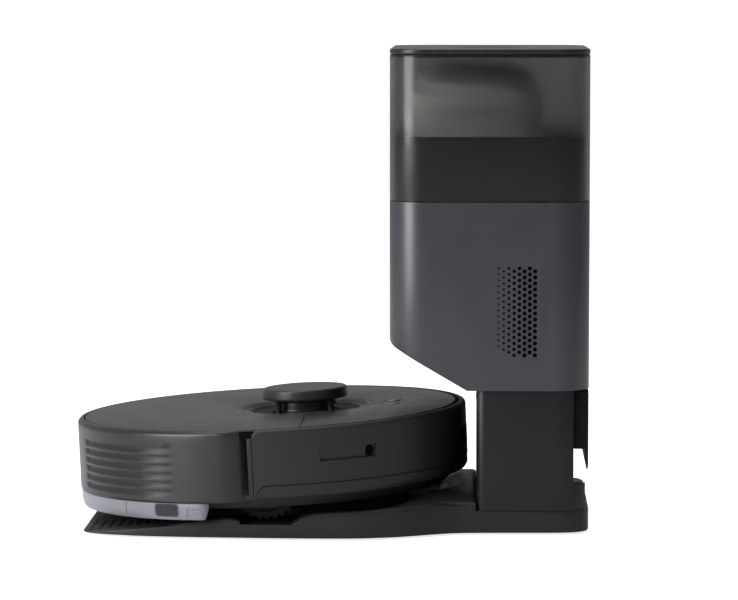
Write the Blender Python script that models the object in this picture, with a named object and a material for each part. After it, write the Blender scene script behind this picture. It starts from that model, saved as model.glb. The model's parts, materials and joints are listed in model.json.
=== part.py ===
"""Robot vacuum standing on its self-emptying dock, as separate named sub-parts."""
import math

import bmesh
import bpy
from mathutils import Matrix, Vector

# Driving dimensions, in metres
SHIFT_X = -0.0520          # robot centre, from the middle of the whole object
TILT = math.radians(-2.64)  # the robot stands nose up on the ramp
ROBOT_LIFT = 0.01915
BUMPER_R = 0.1755
SHELL_R = 0.1730
PLATE_R = 0.1672
PLATE_Z = 0.0795
GAP = 0.0003
WHEEL_R = 0.0345
WHEEL_AT = (0.0, 0.1100, 0.0298)
TOWER_X0 = 0.1057
TOWER_X1 = 0.2797
TOWER_HALF = 0.1190
TOWER_CORNER = 0.0320
TOWER_SEAM = 0.2900
TOWER_TOP = 0.4215
BASE_HALF = 0.1540

for old in list(bpy.data.objects):
    bpy.data.objects.remove(old, do_unlink=True)


def frame_empty(name, place, tilt):
    """An empty that carries one group of parts."""
    empty = bpy.data.objects.new(name, None)
    bpy.context.scene.collection.objects.link(empty)
    empty.location = place
    empty.rotation_euler = (0.0, tilt, 0.0)
    return empty


DOCK = frame_empty("dock_frame", (SHIFT_X, 0.0, 0.0), 0.0)
ROBOT = frame_empty("robot_frame", (SHIFT_X, 0.0, ROBOT_LIFT), TILT)

COLOURS = {
    "shell": (0.055, 0.056, 0.060, 0.0, 0.42),
    "plate": (0.070, 0.070, 0.073, 0.0, 0.38),
    "dark": (0.020, 0.020, 0.021, 0.0, 0.50),
    "rubber": (0.012, 0.012, 0.012, 0.0, 0.80),
    "dock": (0.048, 0.049, 0.052, 0.0, 0.45),
    "smoke": (0.050, 0.050, 0.050, 0.0, 0.10),
    "milky": (0.420, 0.430, 0.520, 0.0, 0.25),
    "metal": (0.600, 0.600, 0.610, 1.0, 0.30),
    "cloth": (0.180, 0.190, 0.220, 0.0, 0.95),
    "bag": (0.420, 0.390, 0.340, 0.0, 0.90),
    "card": (0.450, 0.360, 0.250, 0.0, 0.85),
    "board": (0.020, 0.110, 0.050, 0.0, 0.45),
    "filter": (0.700, 0.710, 0.690, 0.0, 0.90),
    "orange": (0.500, 0.060, 0.020, 0.0, 0.60),
}


def material(name, look):
    """A Principled material of the part's own."""
    red, green, blue, metallic, rough = COLOURS[look]
    mat = bpy.data.materials.new(name)
    mat.use_nodes = True
    shader = mat.node_tree.nodes["Principled BSDF"]
    shader.inputs["Base Color"].default_value = (red, green, blue, 1.0)
    shader.inputs["Metallic"].default_value = metallic
    shader.inputs["Roughness"].default_value = rough
    mat.diffuse_color = (red, green, blue, 1.0)
    return mat


def add(name, bm, look, parent, origin=(0.0, 0.0, 0.0), cutter=False, smooth=0.6):
    """Turns a bmesh in the group's coordinates into an object with this origin."""
    bmesh.ops.remove_doubles(bm, verts=bm.verts, dist=1e-6)
    bmesh.ops.recalc_face_normals(bm, faces=bm.faces)
    bmesh.ops.translate(bm, verts=bm.verts, vec=-Vector(origin))
    mesh = bpy.data.meshes.new(name)
    bm.to_mesh(mesh)
    bm.free()
    for face in mesh.polygons:
        face.use_smooth = True
    mesh.set_sharp_from_angle(angle=smooth)
    obj = bpy.data.objects.new(name, mesh)
    bpy.context.scene.collection.objects.link(obj)
    obj.parent = parent
    obj.location = origin
    if cutter:
        obj.hide_render = True
        obj.display_type = "WIRE"
    else:
        mesh.materials.append(material(name + "_material", look))
    return obj


def boolean(obj, other, operation="DIFFERENCE"):
    """Cuts with, or joins, a helper object."""
    step = obj.modifiers.new(operation.lower(), "BOOLEAN")
    step.operation = operation
    step.solver = "EXACT"
    step.object = other
    return obj


def prism_bm(outline, low, high, axis="Z"):
    """A straight prism of a closed 2-D outline, along one axis."""
    bm = bmesh.new()
    order = {"Z": lambda a, b, c: (a, b, c), "Y": lambda a, b, c: (a, c, b), "X": lambda a, b, c: (c, a, b)}[axis]
    bottom = [bm.verts.new(order(a, b, low)) for a, b in outline]
    top = [bm.verts.new(order(a, b, high)) for a, b in outline]
    count = len(outline)
    bm.faces.new(list(reversed(bottom)))
    bm.faces.new(top)
    for i in range(count):
        j = (i + 1) % count
        bm.faces.new((bottom[i], bottom[j], top[j], top[i]))
    return bm


def lathe_bm(profile, centre=(0.0, 0.0, 0.0), axis="Z", steps=48, start=0.0, sweep=None):
    """Revolves a closed profile of (radius, height) about an axis, fully or over a part turn."""
    bm = bmesh.new()
    full = sweep is None
    turns = steps if full else steps + 1
    rings = []
    for i in range(turns):
        angle = start + (2 * math.pi * i / steps if full else sweep * i / steps)
        ring = []
        for radius, height in profile:
            a, b = radius * math.cos(angle), radius * math.sin(angle)
            if axis == "Z":
                place = (centre[0] + a, centre[1] + b, centre[2] + height)
            elif axis == "Y":
                place = (centre[0] + b, centre[1] + height, centre[2] + a)
            else:
                place = (centre[0] + height, centre[1] + a, centre[2] + b)
            ring.append(bm.verts.new(place))
        rings.append(ring)
    count = len(profile)
    for i in range(turns if full else turns - 1):
        first, second = rings[i], rings[(i + 1) % turns]
        for k in range(count):
            m = (k + 1) % count
            if profile[k][0] < 1e-9 and profile[m][0] < 1e-9:
                continue
            corners = [first[k], first[m], second[m], second[k]]
            if profile[k][0] < 1e-9:
                corners = [first[k], first[m], second[m]]
            elif profile[m][0] < 1e-9:
                corners = [first[k], first[m], second[k]]
            bm.faces.new(corners)
    if not full:
        bm.faces.new(rings[0])
        bm.faces.new(list(reversed(rings[-1])))
    return bm


def box_bm(x0, x1, y0, y1, z0, z1):
    return prism_bm([(x0, y0), (x1, y0), (x1, y1), (x0, y1)], z0, z1)


def rounded(x0, x1, y0, y1, radius, steps=6):
    """A rectangle with rounded corners, as an outline."""
    points = []
    corners = ((x1 - radius, y1 - radius, 0), (x0 + radius, y1 - radius, 1), (x0 + radius, y0 + radius, 2), (x1 - radius, y0 + radius, 3))
    for cx, cy, quarter in corners:
        for i in range(steps + 1):
            angle = math.pi / 2 * (quarter + i / steps)
            points.append((cx + radius * math.cos(angle), cy + radius * math.sin(angle)))
    return points


def tube(name, look, parent, centre, low, high, outer, inner, axis="Z", steps=32, origin=None):
    profile = [(inner, low), (outer, low), (outer, high), (inner, high)]
    return add(name, lathe_bm(profile, centre, axis, steps), look, parent, origin or centre)


def rod_bm(centre, low, high, radius, axis="Z", steps=32):
    return lathe_bm([(0.0, low), (radius, low), (radius, high), (0.0, high)], centre, axis, steps)


def cutter(bm, parent, name="cutter"):
    return add(name, bm, None, parent, cutter=True)


def arc(radius, first, last, steps, centre=(0.0, 0.0)):
    return [(centre[0] + radius * math.cos(first + (last - first) * i / steps), centre[1] + radius * math.sin(first + (last - first) * i / steps)) for i in range(steps + 1)]


# ---------------------------------------------------------------- dock
def base_outline(inset=0.0):
    """Plan of the dock's base: blunt entry edge, waisted sides and rounded rear corners."""
    near = [(-0.161, 0.111), (-0.157, 0.123), (-0.144, 0.131), (-0.126, 0.137), (-0.109, 0.142), (-0.074, 0.147), (-0.021, 0.151), (0.030, 0.154), (0.065, 0.154), (0.082, 0.1525), (0.099, 0.1485), (0.116, 0.143), (0.133, 0.134), (0.150, 0.124), (0.168, 0.118), (0.202, 0.116), (0.254, 0.114), (0.272, 0.108), (0.278, 0.101), (0.280, 0.092)]
    points = [(x, -y) for x, y in near] + [(x, y) for x, y in reversed(near)]
    if inset:
        middle = 0.06
        points = [(x - math.copysign(inset, x - middle), y - math.copysign(inset, y)) for x, y in points]
    return points


def slope_top(x):
    """Height of the base's top at x: ramp, then a floor parallel to the tilted robot."""
    if x < -0.020:
        return 0.003 + (x + 0.161) * (0.0148 / 0.141)
    return 0.0178 + (x + 0.020) * 0.0461


profile = [(-0.1612, 0.0022), (0.2802, 0.0022), (0.2802, 0.0215), (0.1810, 0.0215), (0.1790, 0.0262), (0.150, slope_top(0.150)), (-0.020, slope_top(-0.020)), (-0.1612, 0.0032)]
base = add("dock_base", prism_bm(base_outline(), 0.0022, 0.060), "dock", DOCK)
boolean(base, cutter(prism_bm([(x, z) for x, z in profile[2:]] + [(-0.20, 0.0032), (-0.20, 0.09), (0.30, 0.09), (0.30, 0.0215)], -0.2, 0.2, "Y"), DOCK))
for side in (-1, 1):
    lane = [(-0.0585, 0.0138), (0.026, 0.0138), (0.0345, 0.0212), (0.040, 0.07), (-0.0585, 0.07)]
    low, high = sorted((side * 0.0900, side * 0.1300))
    boolean(base, cutter(prism_bm(lane, low, high, "Y"), DOCK))
    notch = [(-0.0300, 0.0138), (0.0240, 0.0138), (0.0460, 0.0290), (0.0460, 0.07), (-0.0420, 0.07), (-0.0420, 0.0215)]
    low, high = sorted((side * 0.1200, side * 0.1650))
    boolean(base, cutter(prism_bm(notch, low, high, "Y"), DOCK))
boolean(base, cutter(prism_bm(rounded(0.045, 0.085, -0.060, 0.060, 0.008), 0.009, 0.06), DOCK))
boolean(base, cutter(prism_bm(rounded(0.0465, 0.272, -0.040, 0.040, 0.004, 2), -0.01, 0.0149), DOCK))
boolean(base, cutter(prism_bm(rounded(-0.085, 0.040, -0.080, 0.080, 0.006, 2), -0.01, 0.0075), DOCK))
boolean(base, cutter(rod_bm((0.230, 0.0, 0.0), 0.0, 0.05, 0.0172, "Z", 24), DOCK))
for side in (-1, 1):
    boolean(base, cutter(box_bm(0.1292, 0.1528, side * 0.036 - 0.0058, side * 0.036 + 0.0058, 0.0168, 0.06), DOCK))
for name, x, y in (("dock_foot_front_right", -0.135, -0.105), ("dock_foot_front_left", -0.135, 0.105), ("dock_foot_rear_right", 0.245, -0.088), ("dock_foot_rear_left", 0.245, 0.088)):
    add(name, prism_bm(rounded(x - 0.014, x + 0.014, y - 0.007, y + 0.007, 0.006, 4), 0.0, 0.0022 - GAP), "rubber", DOCK)

seal = add("suction_port_seal", prism_bm(rounded(0.0455, 0.0845, -0.0595, 0.0595, 0.0075), 0.0150, 0.0207), "rubber", DOCK)
boolean(seal, cutter(prism_bm(rounded(0.0510, 0.0790, -0.052, 0.052, 0.005), 0.00, 0.05), DOCK))
duct = add("base_duct", prism_bm(rounded(0.0470, 0.2600, -0.037, 0.037, 0.006, 3), 0.0045, 0.0145), "dark", DOCK)
boolean(duct, cutter(prism_bm(rounded(0.0490, 0.2580, -0.035, 0.035, 0.004, 3), 0.0062, 0.0128), DOCK))
boolean(duct, cutter(prism_bm(rounded(0.0510, 0.0790, -0.033, 0.033, 0.003, 3), 0.010, 0.05), DOCK))
boolean(duct, cutter(rod_bm((0.230, 0.0, 0.0), 0.010, 0.05, 0.0140, "Z", 24), DOCK))
for name, side in (("charge_contact_right", -1), ("charge_contact_left", 1)):
    y = side * 0.036
    add(name, prism_bm([(0.1300, 0.0225), (0.1345, 0.0325), (0.1375, 0.0334), (0.1430, 0.0334), (0.1465, 0.0325), (0.1520, 0.0230), (0.1520, 0.0200), (0.1300, 0.0193)], y - 0.005, y + 0.005, "Y"), "metal", DOCK, (0.141, y, 0.024))

# column under the housing
front_half = [(x, y) for x, y in rounded(0.1814, 0.2796, -0.1165, 0.1165, 0.0080, 4) if x < 0.23]
rear_half = [(x, y) for x, y in rounded(0.1814, 0.2796, -0.1165, 0.1165, 0.0300, 7) if x > 0.23]
column_plan = sorted(front_half + rear_half, key=lambda p: math.atan2(p[1], p[0] - 0.2305))
column = add("dock_column", prism_bm(column_plan, 0.0215 + GAP, 0.1262), "dark", DOCK)
boolean(column, cutter(prism_bm(rounded(0.1844, 0.2620, -0.1135, 0.1135, 0.0270, 7), 0.0, 0.1230), DOCK))
boolean(column, cutter(box_bm(0.2500, 0.2700, 0.0117, 0.0403, 0.0697, 0.0903), DOCK))
boolean(column, cutter(box_bm(0.2660, 0.2900, -0.1250, 0.1250, 0.0450, 0.1300), DOCK))
boolean(column, cutter(box_bm(0.2660, 0.2900, -0.1000, 0.1250, 0.0100, 0.0460), DOCK))
boolean(column, cutter(rod_bm((0.230, 0.0, 0.0), 0.10, 0.15, 0.0172, "Z", 24), DOCK))
boolean(column, cutter(box_bm(0.175, 0.1900, -0.0300, 0.0300, 0.0640, 0.1000), DOCK))
add("ir_window", prism_bm(rounded(-0.0297, 0.0297, 0.0643, 0.0997, 0.004, 3), 0.1814, 0.1838, "X"), "smoke", DOCK)
hook = add("cable_hook", prism_bm([(0.2772, 0.1236), (0.2772, 0.0580), (0.2784, 0.0550), (0.2796, 0.0580), (0.2796, 0.1236)], -0.0850, 0.0850, "Y"), "dark", DOCK)
for side in (-1, 1):
    low, high = sorted((side * 0.0630, side * 0.0850))
    boolean(hook, cutter(box_bm(0.2663, 0.2780, low, high, 0.0720, 0.1236), DOCK), "UNION")
inlet = add("power_inlet", box_bm(0.2510, 0.2657, 0.0120, 0.0400, 0.0700, 0.0900), "dark", DOCK)
boolean(inlet, cutter(prism_bm(rounded(0.0150, 0.0370, 0.0730, 0.0870, 0.005, 3), 0.2560, 0.2800, "X"), DOCK))
add("dock_circuit_board", box_bm(0.2380, 0.2396, -0.1000, -0.0300, 0.0400, 0.1100), "board", DOCK)

# housing, with the slanted front under its chin
HOUSE_SIDE = [(TOWER_X0, 0.2897), (TOWER_X0, 0.1680), (0.1085, 0.1630), (0.1755, 0.1262 + GAP), (TOWER_X1, 0.1262 + GAP), (TOWER_X1, 0.2897)]
housing = add("dock_housing", prism_bm(rounded(TOWER_X0, TOWER_X1, -TOWER_HALF, TOWER_HALF, TOWER_CORNER, 8), 0.1262 + GAP, 0.2897), "shell", DOCK)
boolean(housing, cutter(prism_bm([(0.08, 0.20), (TOWER_X0, 0.1680), (0.1085, 0.1630), (0.1755, 0.1262 + GAP), (0.1755, 0.10), (0.08, 0.10)], -0.2, 0.2, "Y"), DOCK))
room = cutter(prism_bm(rounded(TOWER_X0 + 0.003, TOWER_X1 - 0.003, -TOWER_HALF + 0.003, TOWER_HALF - 0.003, TOWER_CORNER - 0.003, 8), 0.1295, 0.40), DOCK, "room")
boolean(room, cutter(prism_bm([(0.08, 0.20), (TOWER_X0 + 0.003, 0.1700), (0.1110, 0.1655), (0.1772, 0.1295), (0.1772, 0.10), (0.08, 0.10)], -0.2, 0.2, "Y"), DOCK))
boolean(housing, room)
boolean(housing, cutter(rod_bm((0.230, 0.0, 0.0), 0.10, 0.15, 0.0172, "Z", 24), DOCK))
VENT = [(0.1962, 0.2365), (0.1962, 0.1665), (0.2065, 0.1545), (0.2362, 0.1515), (0.2362, 0.2365)]
for name, side in (("vent_grille_right", -1), ("vent_grille_left", 1)):
    low, high = sorted((side * 0.1120, side * 0.1300))
    boolean(housing, cutter(prism_bm(VENT, low, high, "Y"), DOCK))
    centre = Vector((0.2162, 0.1945))
    inner = [tuple(centre + (Vector(p) - centre) * 0.984) for p in VENT]
    low, high = sorted((side * 0.1166, side * 0.1190))
    add(name, prism_bm(inner, low, high, "Y"), "dark", DOCK)

riser_profile = [(0.0140, 0.0150), (0.0168, 0.0150), (0.0168, 0.2985), (0.0140, 0.2985)]
add("duct_riser", lathe_bm(riser_profile, (0.230, 0.0, 0.0), "Z", 24), "dark", DOCK, (0.230, 0.0, 0.0))
add("blower_motor", lathe_bm([(0.0, 0.175), (0.040, 0.175), (0.045, 0.180), (0.045, 0.222), (0.040, 0.228), (0.009, 0.228), (0.009, 0.232), (0.0, 0.232)], (0.163, 0.0, 0.0), "Z", 32), "metal", DOCK, (0.163, 0.0, 0.2))
impeller = add("blower_impeller", lathe_bm([(0.0092, 0.2323), (0.036, 0.2323), (0.036, 0.2338), (0.014, 0.2365), (0.011, 0.246), (0.0, 0.246), (0.0, 0.2323)], (0.163, 0.0, 0.0), "Z", 24), "dark", DOCK, (0.163, 0.0, 0.2323))
for k in range(8):
    blade = box_bm(0.008, 0.035, -0.0007, 0.0007, 0.2330, 0.2440)
    bmesh.ops.rotate(blade, verts=blade.verts, cent=(0, 0, 0), matrix=Matrix.Rotation(k * math.pi / 4, 3, "Z"))
    bmesh.ops.translate(blade, verts=blade.verts, vec=(0.163, 0.0, 0.0))
    boolean(impeller, cutter(blade, DOCK), "UNION")
add("exhaust_filter", box_bm(0.2530, 0.2660, -0.060, 0.060, 0.150, 0.230), "filter", DOCK)

# opaque tray, bag and the smoky lift-off cover
tray = add("bag_tray", prism_bm(rounded(TOWER_X0 + 0.0040, TOWER_X1 - 0.0040, -TOWER_HALF + 0.0040, TOWER_HALF - 0.0040, TOWER_CORNER - 0.004, 7), 0.2902, 0.3460), "dark", DOCK)
boolean(tray, cutter(prism_bm(rounded(TOWER_X0 + 0.0065, TOWER_X1 - 0.0065, -TOWER_HALF + 0.0065, TOWER_HALF - 0.0065, TOWER_CORNER - 0.0065, 7), 0.2930, 0.40), DOCK))
boolean(tray, cutter(rod_bm((0.230, 0.0, 0.0), 0.28, 0.31, 0.0172, "Z", 24), DOCK))
collar = add("bag_collar", prism_bm(rounded(0.2020, 0.2580, -0.045, 0.045, 0.006, 3), 0.2990, 0.3020), "card", DOCK)
boolean(collar, cutter(rod_bm((0.230, 0.0, 0.0), 0.28, 0.31, 0.0150, "Z", 24), DOCK))
bag = bmesh.new()
bmesh.ops.create_icosphere(bag, subdivisions=3, radius=1.0)
for v in bag.verts:
    power = [math.copysign(abs(c) ** 0.62, c) for c in v.co]
    v.co = (0.1800 + 0.0620 * power[0], 0.0970 * power[1], 0.3535 + 0.0505 * power[2])
add("dust_bag", bag, "bag", DOCK, (0.180, 0.0, 0.3535))
cover = add("dock_cover", prism_bm(rounded(TOWER_X0, TOWER_X1, -TOWER_HALF, TOWER_HALF, TOWER_CORNER, 8), 0.2902, 0.4166), "smoke", DOCK)
boolean(cover, cutter(prism_bm(rounded(TOWER_X0 + 0.0025, TOWER_X1 - 0.0025, -TOWER_HALF + 0.0025, TOWER_HALF - 0.0025, TOWER_CORNER - 0.0025, 8), 0.20, 0.4141), DOCK))
add("cover_lid", prism_bm(rounded(TOWER_X0, TOWER_X1, -TOWER_HALF, TOWER_HALF, TOWER_CORNER, 8), 0.4169, TOWER_TOP), "dark", DOCK)

# ---------------------------------------------------------------- robot
chassis = add("chassis", lathe_bm([(0.0, 0.0105), (0.1560, 0.0105), (0.1650, 0.0190), (0.1650, 0.0225), (0.0, 0.0225)], steps=72), "dark", ROBOT)
wall = lathe_bm([(0.1615, 0.0200), (0.1645, 0.0200), (0.1645, 0.0772), (0.1615, 0.0772)], steps=34, start=math.radians(-78.4), sweep=math.radians(156.8))
boolean(chassis, cutter(wall, ROBOT), "UNION")
for side in (-1, 1):
    low, high = sorted((side * 0.0925, side * 0.1275))
    boolean(chassis, cutter(box_bm(-0.050, 0.044, low, high, 0.0, 0.06), ROBOT))
for side in (-1, 1):
    low, high = sorted((side * 0.0850, side * 0.0915))
    boolean(chassis, cutter(box_bm(-0.0520, -0.0320, low, high, 0.0200, 0.0520), ROBOT), "UNION")
    low, high = sorted((side * 0.0700, side * 0.1000))
    boolean(chassis, cutter(rod_bm((-0.042, 0.0, 0.044), low, high, 0.0044, "Y", 16), ROBOT))
boolean(chassis, cutter(box_bm(0.030, 0.088, -0.084, 0.084, 0.0120, 0.06), ROBOT))
boolean(chassis, cutter(box_bm(0.030, 0.088, -0.088, 0.088, 0.0, 0.0155), ROBOT))
boolean(chassis, cutter(rod_bm((0.122, 0.0, 0.0), 0.0, 0.0215, 0.0240, steps=24), ROBOT))
boolean(chassis, cutter(rod_bm((0.100, 0.105, 0.0), 0.0, 0.0135, 0.0150, steps=20), ROBOT))
boolean(chassis, cutter(rod_bm((0.100, 0.105, 0.0), 0.0, 0.06, 0.0032, steps=16), ROBOT))

shell_profile = [(SHELL_R - 0.003, 0.0190), (SHELL_R - 0.0005, 0.0170), (SHELL_R, 0.0200), (SHELL_R, 0.0725), (SHELL_R - 0.0012, 0.0768), (SHELL_R - 0.0040, 0.0792), (PLATE_R + GAP, PLATE_Z), (PLATE_R + GAP, 0.0755), (SHELL_R - 0.0040, 0.0745), (SHELL_R - 0.0045, 0.0200)]
rear_start = math.pi / 2 + math.asin(0.0150 / SHELL_R)
shell = add("rear_shell", lathe_bm(shell_profile, steps=48, start=rear_start, sweep=2 * (math.pi - rear_start)), "shell", ROBOT)
for k in range(6):
    z = 0.0372 + 0.0075 * k
    groove = [(SHELL_R - 0.0016, z - 0.0004), (SHELL_R + 0.003, z - 0.0020), (SHELL_R + 0.003, z + 0.0012)]
    boolean(shell, cutter(lathe_bm(groove, steps=9, start=math.pi + 0.34, sweep=0.68), ROBOT))
    boolean(shell, cutter(lathe_bm(groove, steps=9, start=math.pi - 1.02, sweep=0.68), ROBOT))

bumper_profile = [(BUMPER_R - 0.0030, 0.0190), (BUMPER_R - 0.0010, 0.0190), (BUMPER_R, 0.0215), (BUMPER_R, 0.0725), (BUMPER_R - 0.0010, 0.0765), (BUMPER_R - 0.0025, 0.0785), (BUMPER_R - 0.0043, 0.0793), (PLATE_R + 0.0028, 0.0793), (PLATE_R + 0.0028, 0.0770), (BUMPER_R - 0.0030, 0.0745)]
front_start = -math.acos(-0.0080 / BUMPER_R)
bumper = add("bumper", lathe_bm(bumper_profile, steps=56, start=front_start, sweep=-2 * front_start), "dark", ROBOT)
slot = prism_bm(rounded(0.0505, 0.0978, 0.0497, 0.0603, 0.0048, 4), -0.1800, -0.1400, "Y")
boolean(bumper, cutter(slot, ROBOT))

window = [(0.1690, 0.0480), (0.1720, 0.0480), (0.1720, 0.0620), (0.1690, 0.0620)]
add("wall_sensor_window", lathe_bm(window, steps=8, start=math.radians(-75), sweep=math.radians(21)), "smoke", ROBOT)

lid_edge = 0.0343
plate_top = [(p[0], p[1]) for p in arc(PLATE_R, math.acos(lid_edge / PLATE_R), 2 * math.pi - math.acos(lid_edge / PLATE_R), 64)]
TURRET = (0.0320, 0.0)
lid = add("lid", prism_bm(plate_top, 0.0772, PLATE_Z), "plate", ROBOT, (lid_edge, 0.0, PLATE_Z))
boolean(lid, cutter(rod_bm((0.032, 0.0, 0.0), 0.05, 0.10, 0.0608, steps=48), ROBOT))
front_top = arc(PLATE_R, -math.acos(0.0348 / PLATE_R), math.acos(0.0348 / PLATE_R), 44)
front_cover = add("front_cover", prism_bm(front_top, 0.0775, PLATE_Z), "plate", ROBOT)
boolean(front_cover, cutter(rod_bm((0.032, 0.0, 0.0), 0.05, 0.10, 0.0608, steps=48), ROBOT))
boolean(front_cover, cutter(rod_bm((0.110, -0.013, 0.0), 0.05, 0.10, 0.0068, steps=24), ROBOT))
boolean(front_cover, cutter(rod_bm((0.110, 0.013, 0.0), 0.05, 0.10, 0.0068, steps=24), ROBOT))
for name, y in (("power_button", -0.013), ("home_button", 0.013)):
    add(name, rod_bm((0.110, y, 0.0), 0.0755, 0.0800, 0.0065, steps=24), "dark", ROBOT, (0.110, y, 0.0775))

turret_profile = [(0.0, 0.0700), (0.0605, 0.0700), (0.0605, 0.0790), (0.0575, 0.0790), (0.0575, 0.0765), (0.0545, 0.0765), (0.0545, 0.0777), (0.0505, 0.0777), (0.0505, 0.0740), (0.0250, 0.0740), (0.0250, 0.0760), (0.0, 0.0760)]
add("turret_base", lathe_bm(turret_profile, (0.032, 0.0, 0.0), steps=48), "dark", ROBOT, (0.032, 0.0, 0.070))
cap = add("turret_cap", lathe_bm([(0.0, 0.0868), (0.0360, 0.0868), (0.0378, 0.0885), (0.0378, 0.0942), (0.0362, 0.0962), (0.0, 0.0968)], (0.032, 0.0, 0.0), steps=48), "plate", ROBOT, (0.032, 0.0, 0.087))
for angle in (40, 140, 220, 320):
    a = math.radians(angle)
    x, y = 0.032 + 0.0330 * math.cos(a), 0.0330 * math.sin(a)
    boolean(cap, cutter(rod_bm((x, y, 0.0), 0.0743, 0.0880, 0.0028, steps=12), ROBOT), "UNION")
rotor = add("lidar_rotor", lathe_bm([(0.0, 0.0763), (0.0270, 0.0763), (0.0270, 0.0855), (0.0, 0.0855)], (0.032, 0.0, 0.0), steps=32), "dark", ROBOT, (0.032, 0.0, 0.0763))
boolean(rotor, cutter(box_bm(0.052, 0.070, -0.011, 0.011, 0.0790, 0.0830), ROBOT))

deck_edge = math.acos(0.030 / 0.1662)
deck = add("top_deck", prism_bm(arc(0.1662, deck_edge, 2 * math.pi - deck_edge, 44), 0.0730, 0.0752), "dark", ROBOT)
boolean(deck, cutter(rod_bm((0.032, 0.0, 0.0), 0.05, 0.10, 0.0609, steps=48), ROBOT))
boolean(deck, cutter(box_bm(-0.1265, -0.0545, -0.0765, 0.0765, 0.05, 0.10), ROBOT))

# dust bin under the lid, at the rear
dust_bin = add("dust_bin", box_bm(-0.1250, -0.0560, -0.0750, 0.0750, 0.0228, 0.0690), "smoke", ROBOT, (-0.090, 0.0, 0.0228))
boolean(dust_bin, cutter(box_bm(-0.1230, -0.0700, -0.0730, 0.0730, 0.0248, 0.0800), ROBOT))
boolean(dust_bin, cutter(box_bm(-0.0680, -0.0580, -0.0600, 0.0600, 0.0300, 0.0800), ROBOT))
boolean(dust_bin, cutter(prism_bm(rounded(-0.035, 0.035, 0.0300, 0.0450, 0.003, 2), -0.0720, -0.0500, "X"), ROBOT))
add("dust_filter", box_bm(-0.0677, -0.0583, -0.0597, 0.0597, 0.0303, 0.0660), "filter", ROBOT, (-0.063, 0.0, 0.0303))
add("battery", box_bm(-0.0530, 0.0280, -0.0330, 0.0330, 0.0228, 0.0560), "orange", ROBOT)
add("main_board", box_bm(0.0920, 0.1450, -0.0600, 0.0600, 0.0640, 0.0656), "board", ROBOT)
add("fan_housing", lathe_bm([(0.0, 0.0228), (0.0230, 0.0228), (0.0230, 0.0480), (0.0205, 0.0480), (0.0205, 0.0300), (0.0, 0.0300)], (-0.020, -0.0570, 0.0), steps=28), "dark", ROBOT, (-0.020, -0.0570, 0.0228))
fan = add("fan_impeller", lathe_bm([(0.0, 0.0304), (0.0195, 0.0304), (0.0195, 0.0318), (0.0070, 0.0340), (0.0070, 0.0470), (0.0, 0.0470)], (-0.020, -0.0570, 0.0), steps=24), "dark", ROBOT, (-0.020, -0.0570, 0.0304))
for k in range(7):
    blade = box_bm(0.004, 0.0190, -0.0006, 0.0006, 0.0310, 0.0450)
    bmesh.ops.rotate(blade, verts=blade.verts, cent=(0, 0, 0), matrix=Matrix.Rotation(k * 2 * math.pi / 7, 3, "Z"))
    bmesh.ops.translate(blade, verts=blade.verts, vec=(-0.020, -0.0570, 0.0))
    boolean(fan, cutter(blade, ROBOT), "UNION")

# drive wheels on their swing arms
for word, side in (("right", -1), ("left", 1)):
    wx, wy, wz = WHEEL_AT[0], side * WHEEL_AT[1], WHEEL_AT[2]
    pivot = (-0.0420, wy, 0.0440)
    low, high = sorted((side * 0.0935, side * 0.0965))
    outline = [(-0.0490, 0.0440), (-0.0460, 0.0500), (-0.0400, 0.0510), (0.0060, 0.0380), (0.0090, 0.0300), (0.0060, 0.0220), (-0.0060, 0.0210), (-0.0460, 0.0370)]
    arm = add("wheel_arm_" + word, prism_bm(outline, low, high, "Y"), "dark", ROBOT, pivot)
    low, high = sorted((side * 0.0960, side * 0.1030))
    boolean(arm, cutter(rod_bm((wx, 0.0, wz), low, high, 0.0045, "Y", 16), ROBOT), "UNION")
    low, high = sorted((side * 0.0800, side * 0.0940))
    boolean(arm, cutter(rod_bm((-0.042, 0.0, 0.044), low, high, 0.0040, "Y", 16), ROBOT), "UNION")
    low, high = sorted((side * 0.0985, side * 0.1235))
    hub = [(0.0, high), (0.0, low), (0.0275, low), (0.0275, high)]
    wheel = add("wheel_hub_" + word, lathe_bm(hub, (wx, 0.0, wz), "Y", 32), "shell", ROBOT, (wx, wy, wz))
    low2, high2 = sorted((side * 0.0900, side * 0.1034))
    boolean(wheel, cutter(rod_bm((wx, 0.0, wz), low2, high2, 0.0049, "Y", 16), ROBOT))
    tyre = [(0.0278, low), (WHEEL_R - 0.0008, low), (WHEEL_R, low + 0.002), (WHEEL_R, high - 0.002), (WHEEL_R - 0.0008, high), (0.0278, high)]
    add("tyre_" + word, lathe_bm(tyre, (wx, 0.0, wz), "Y", 40), "rubber", ROBOT, (wx, wy, wz))

for name, side in (("charge_pad_right", -1), ("charge_pad_left", 1)):
    y = side * 0.036
    add(name, prism_bm(rounded(0.1340, 0.1480, y - 0.006, y + 0.006, 0.002, 2), 0.0088, 0.0102), "metal", ROBOT)

# caster at the nose
fork = add("caster_fork", lathe_bm([(0.0, 0.0140), (0.0215, 0.0140), (0.0215, 0.0211), (0.0, 0.0211)], (0.122, 0.0, 0.0), steps=28), "dark", ROBOT, (0.122, 0.0, 0.0140))
boolean(fork, cutter(box_bm(0.1050, 0.1330, -0.0135, -0.0105, 0.0070, 0.0150), ROBOT), "UNION")
boolean(fork, cutter(box_bm(0.1050, 0.1330, 0.0105, 0.0135, 0.0070, 0.0150), ROBOT), "UNION")
boolean(fork, cutter(rod_bm((0.1180, 0.0, 0.0100), -0.0150, 0.0150, 0.0014, "Y", 12), ROBOT), "UNION")
boolean(fork, cutter(rod_bm((0.1180, 0.0, 0.0100), -0.0105, 0.0105, 0.0099, "Y", 28), ROBOT))
boolean(fork, cutter(rod_bm((0.1180, 0.0, 0.0100), -0.0106, 0.0106, 0.0012, "Y", 12), ROBOT), "UNION")
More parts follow.
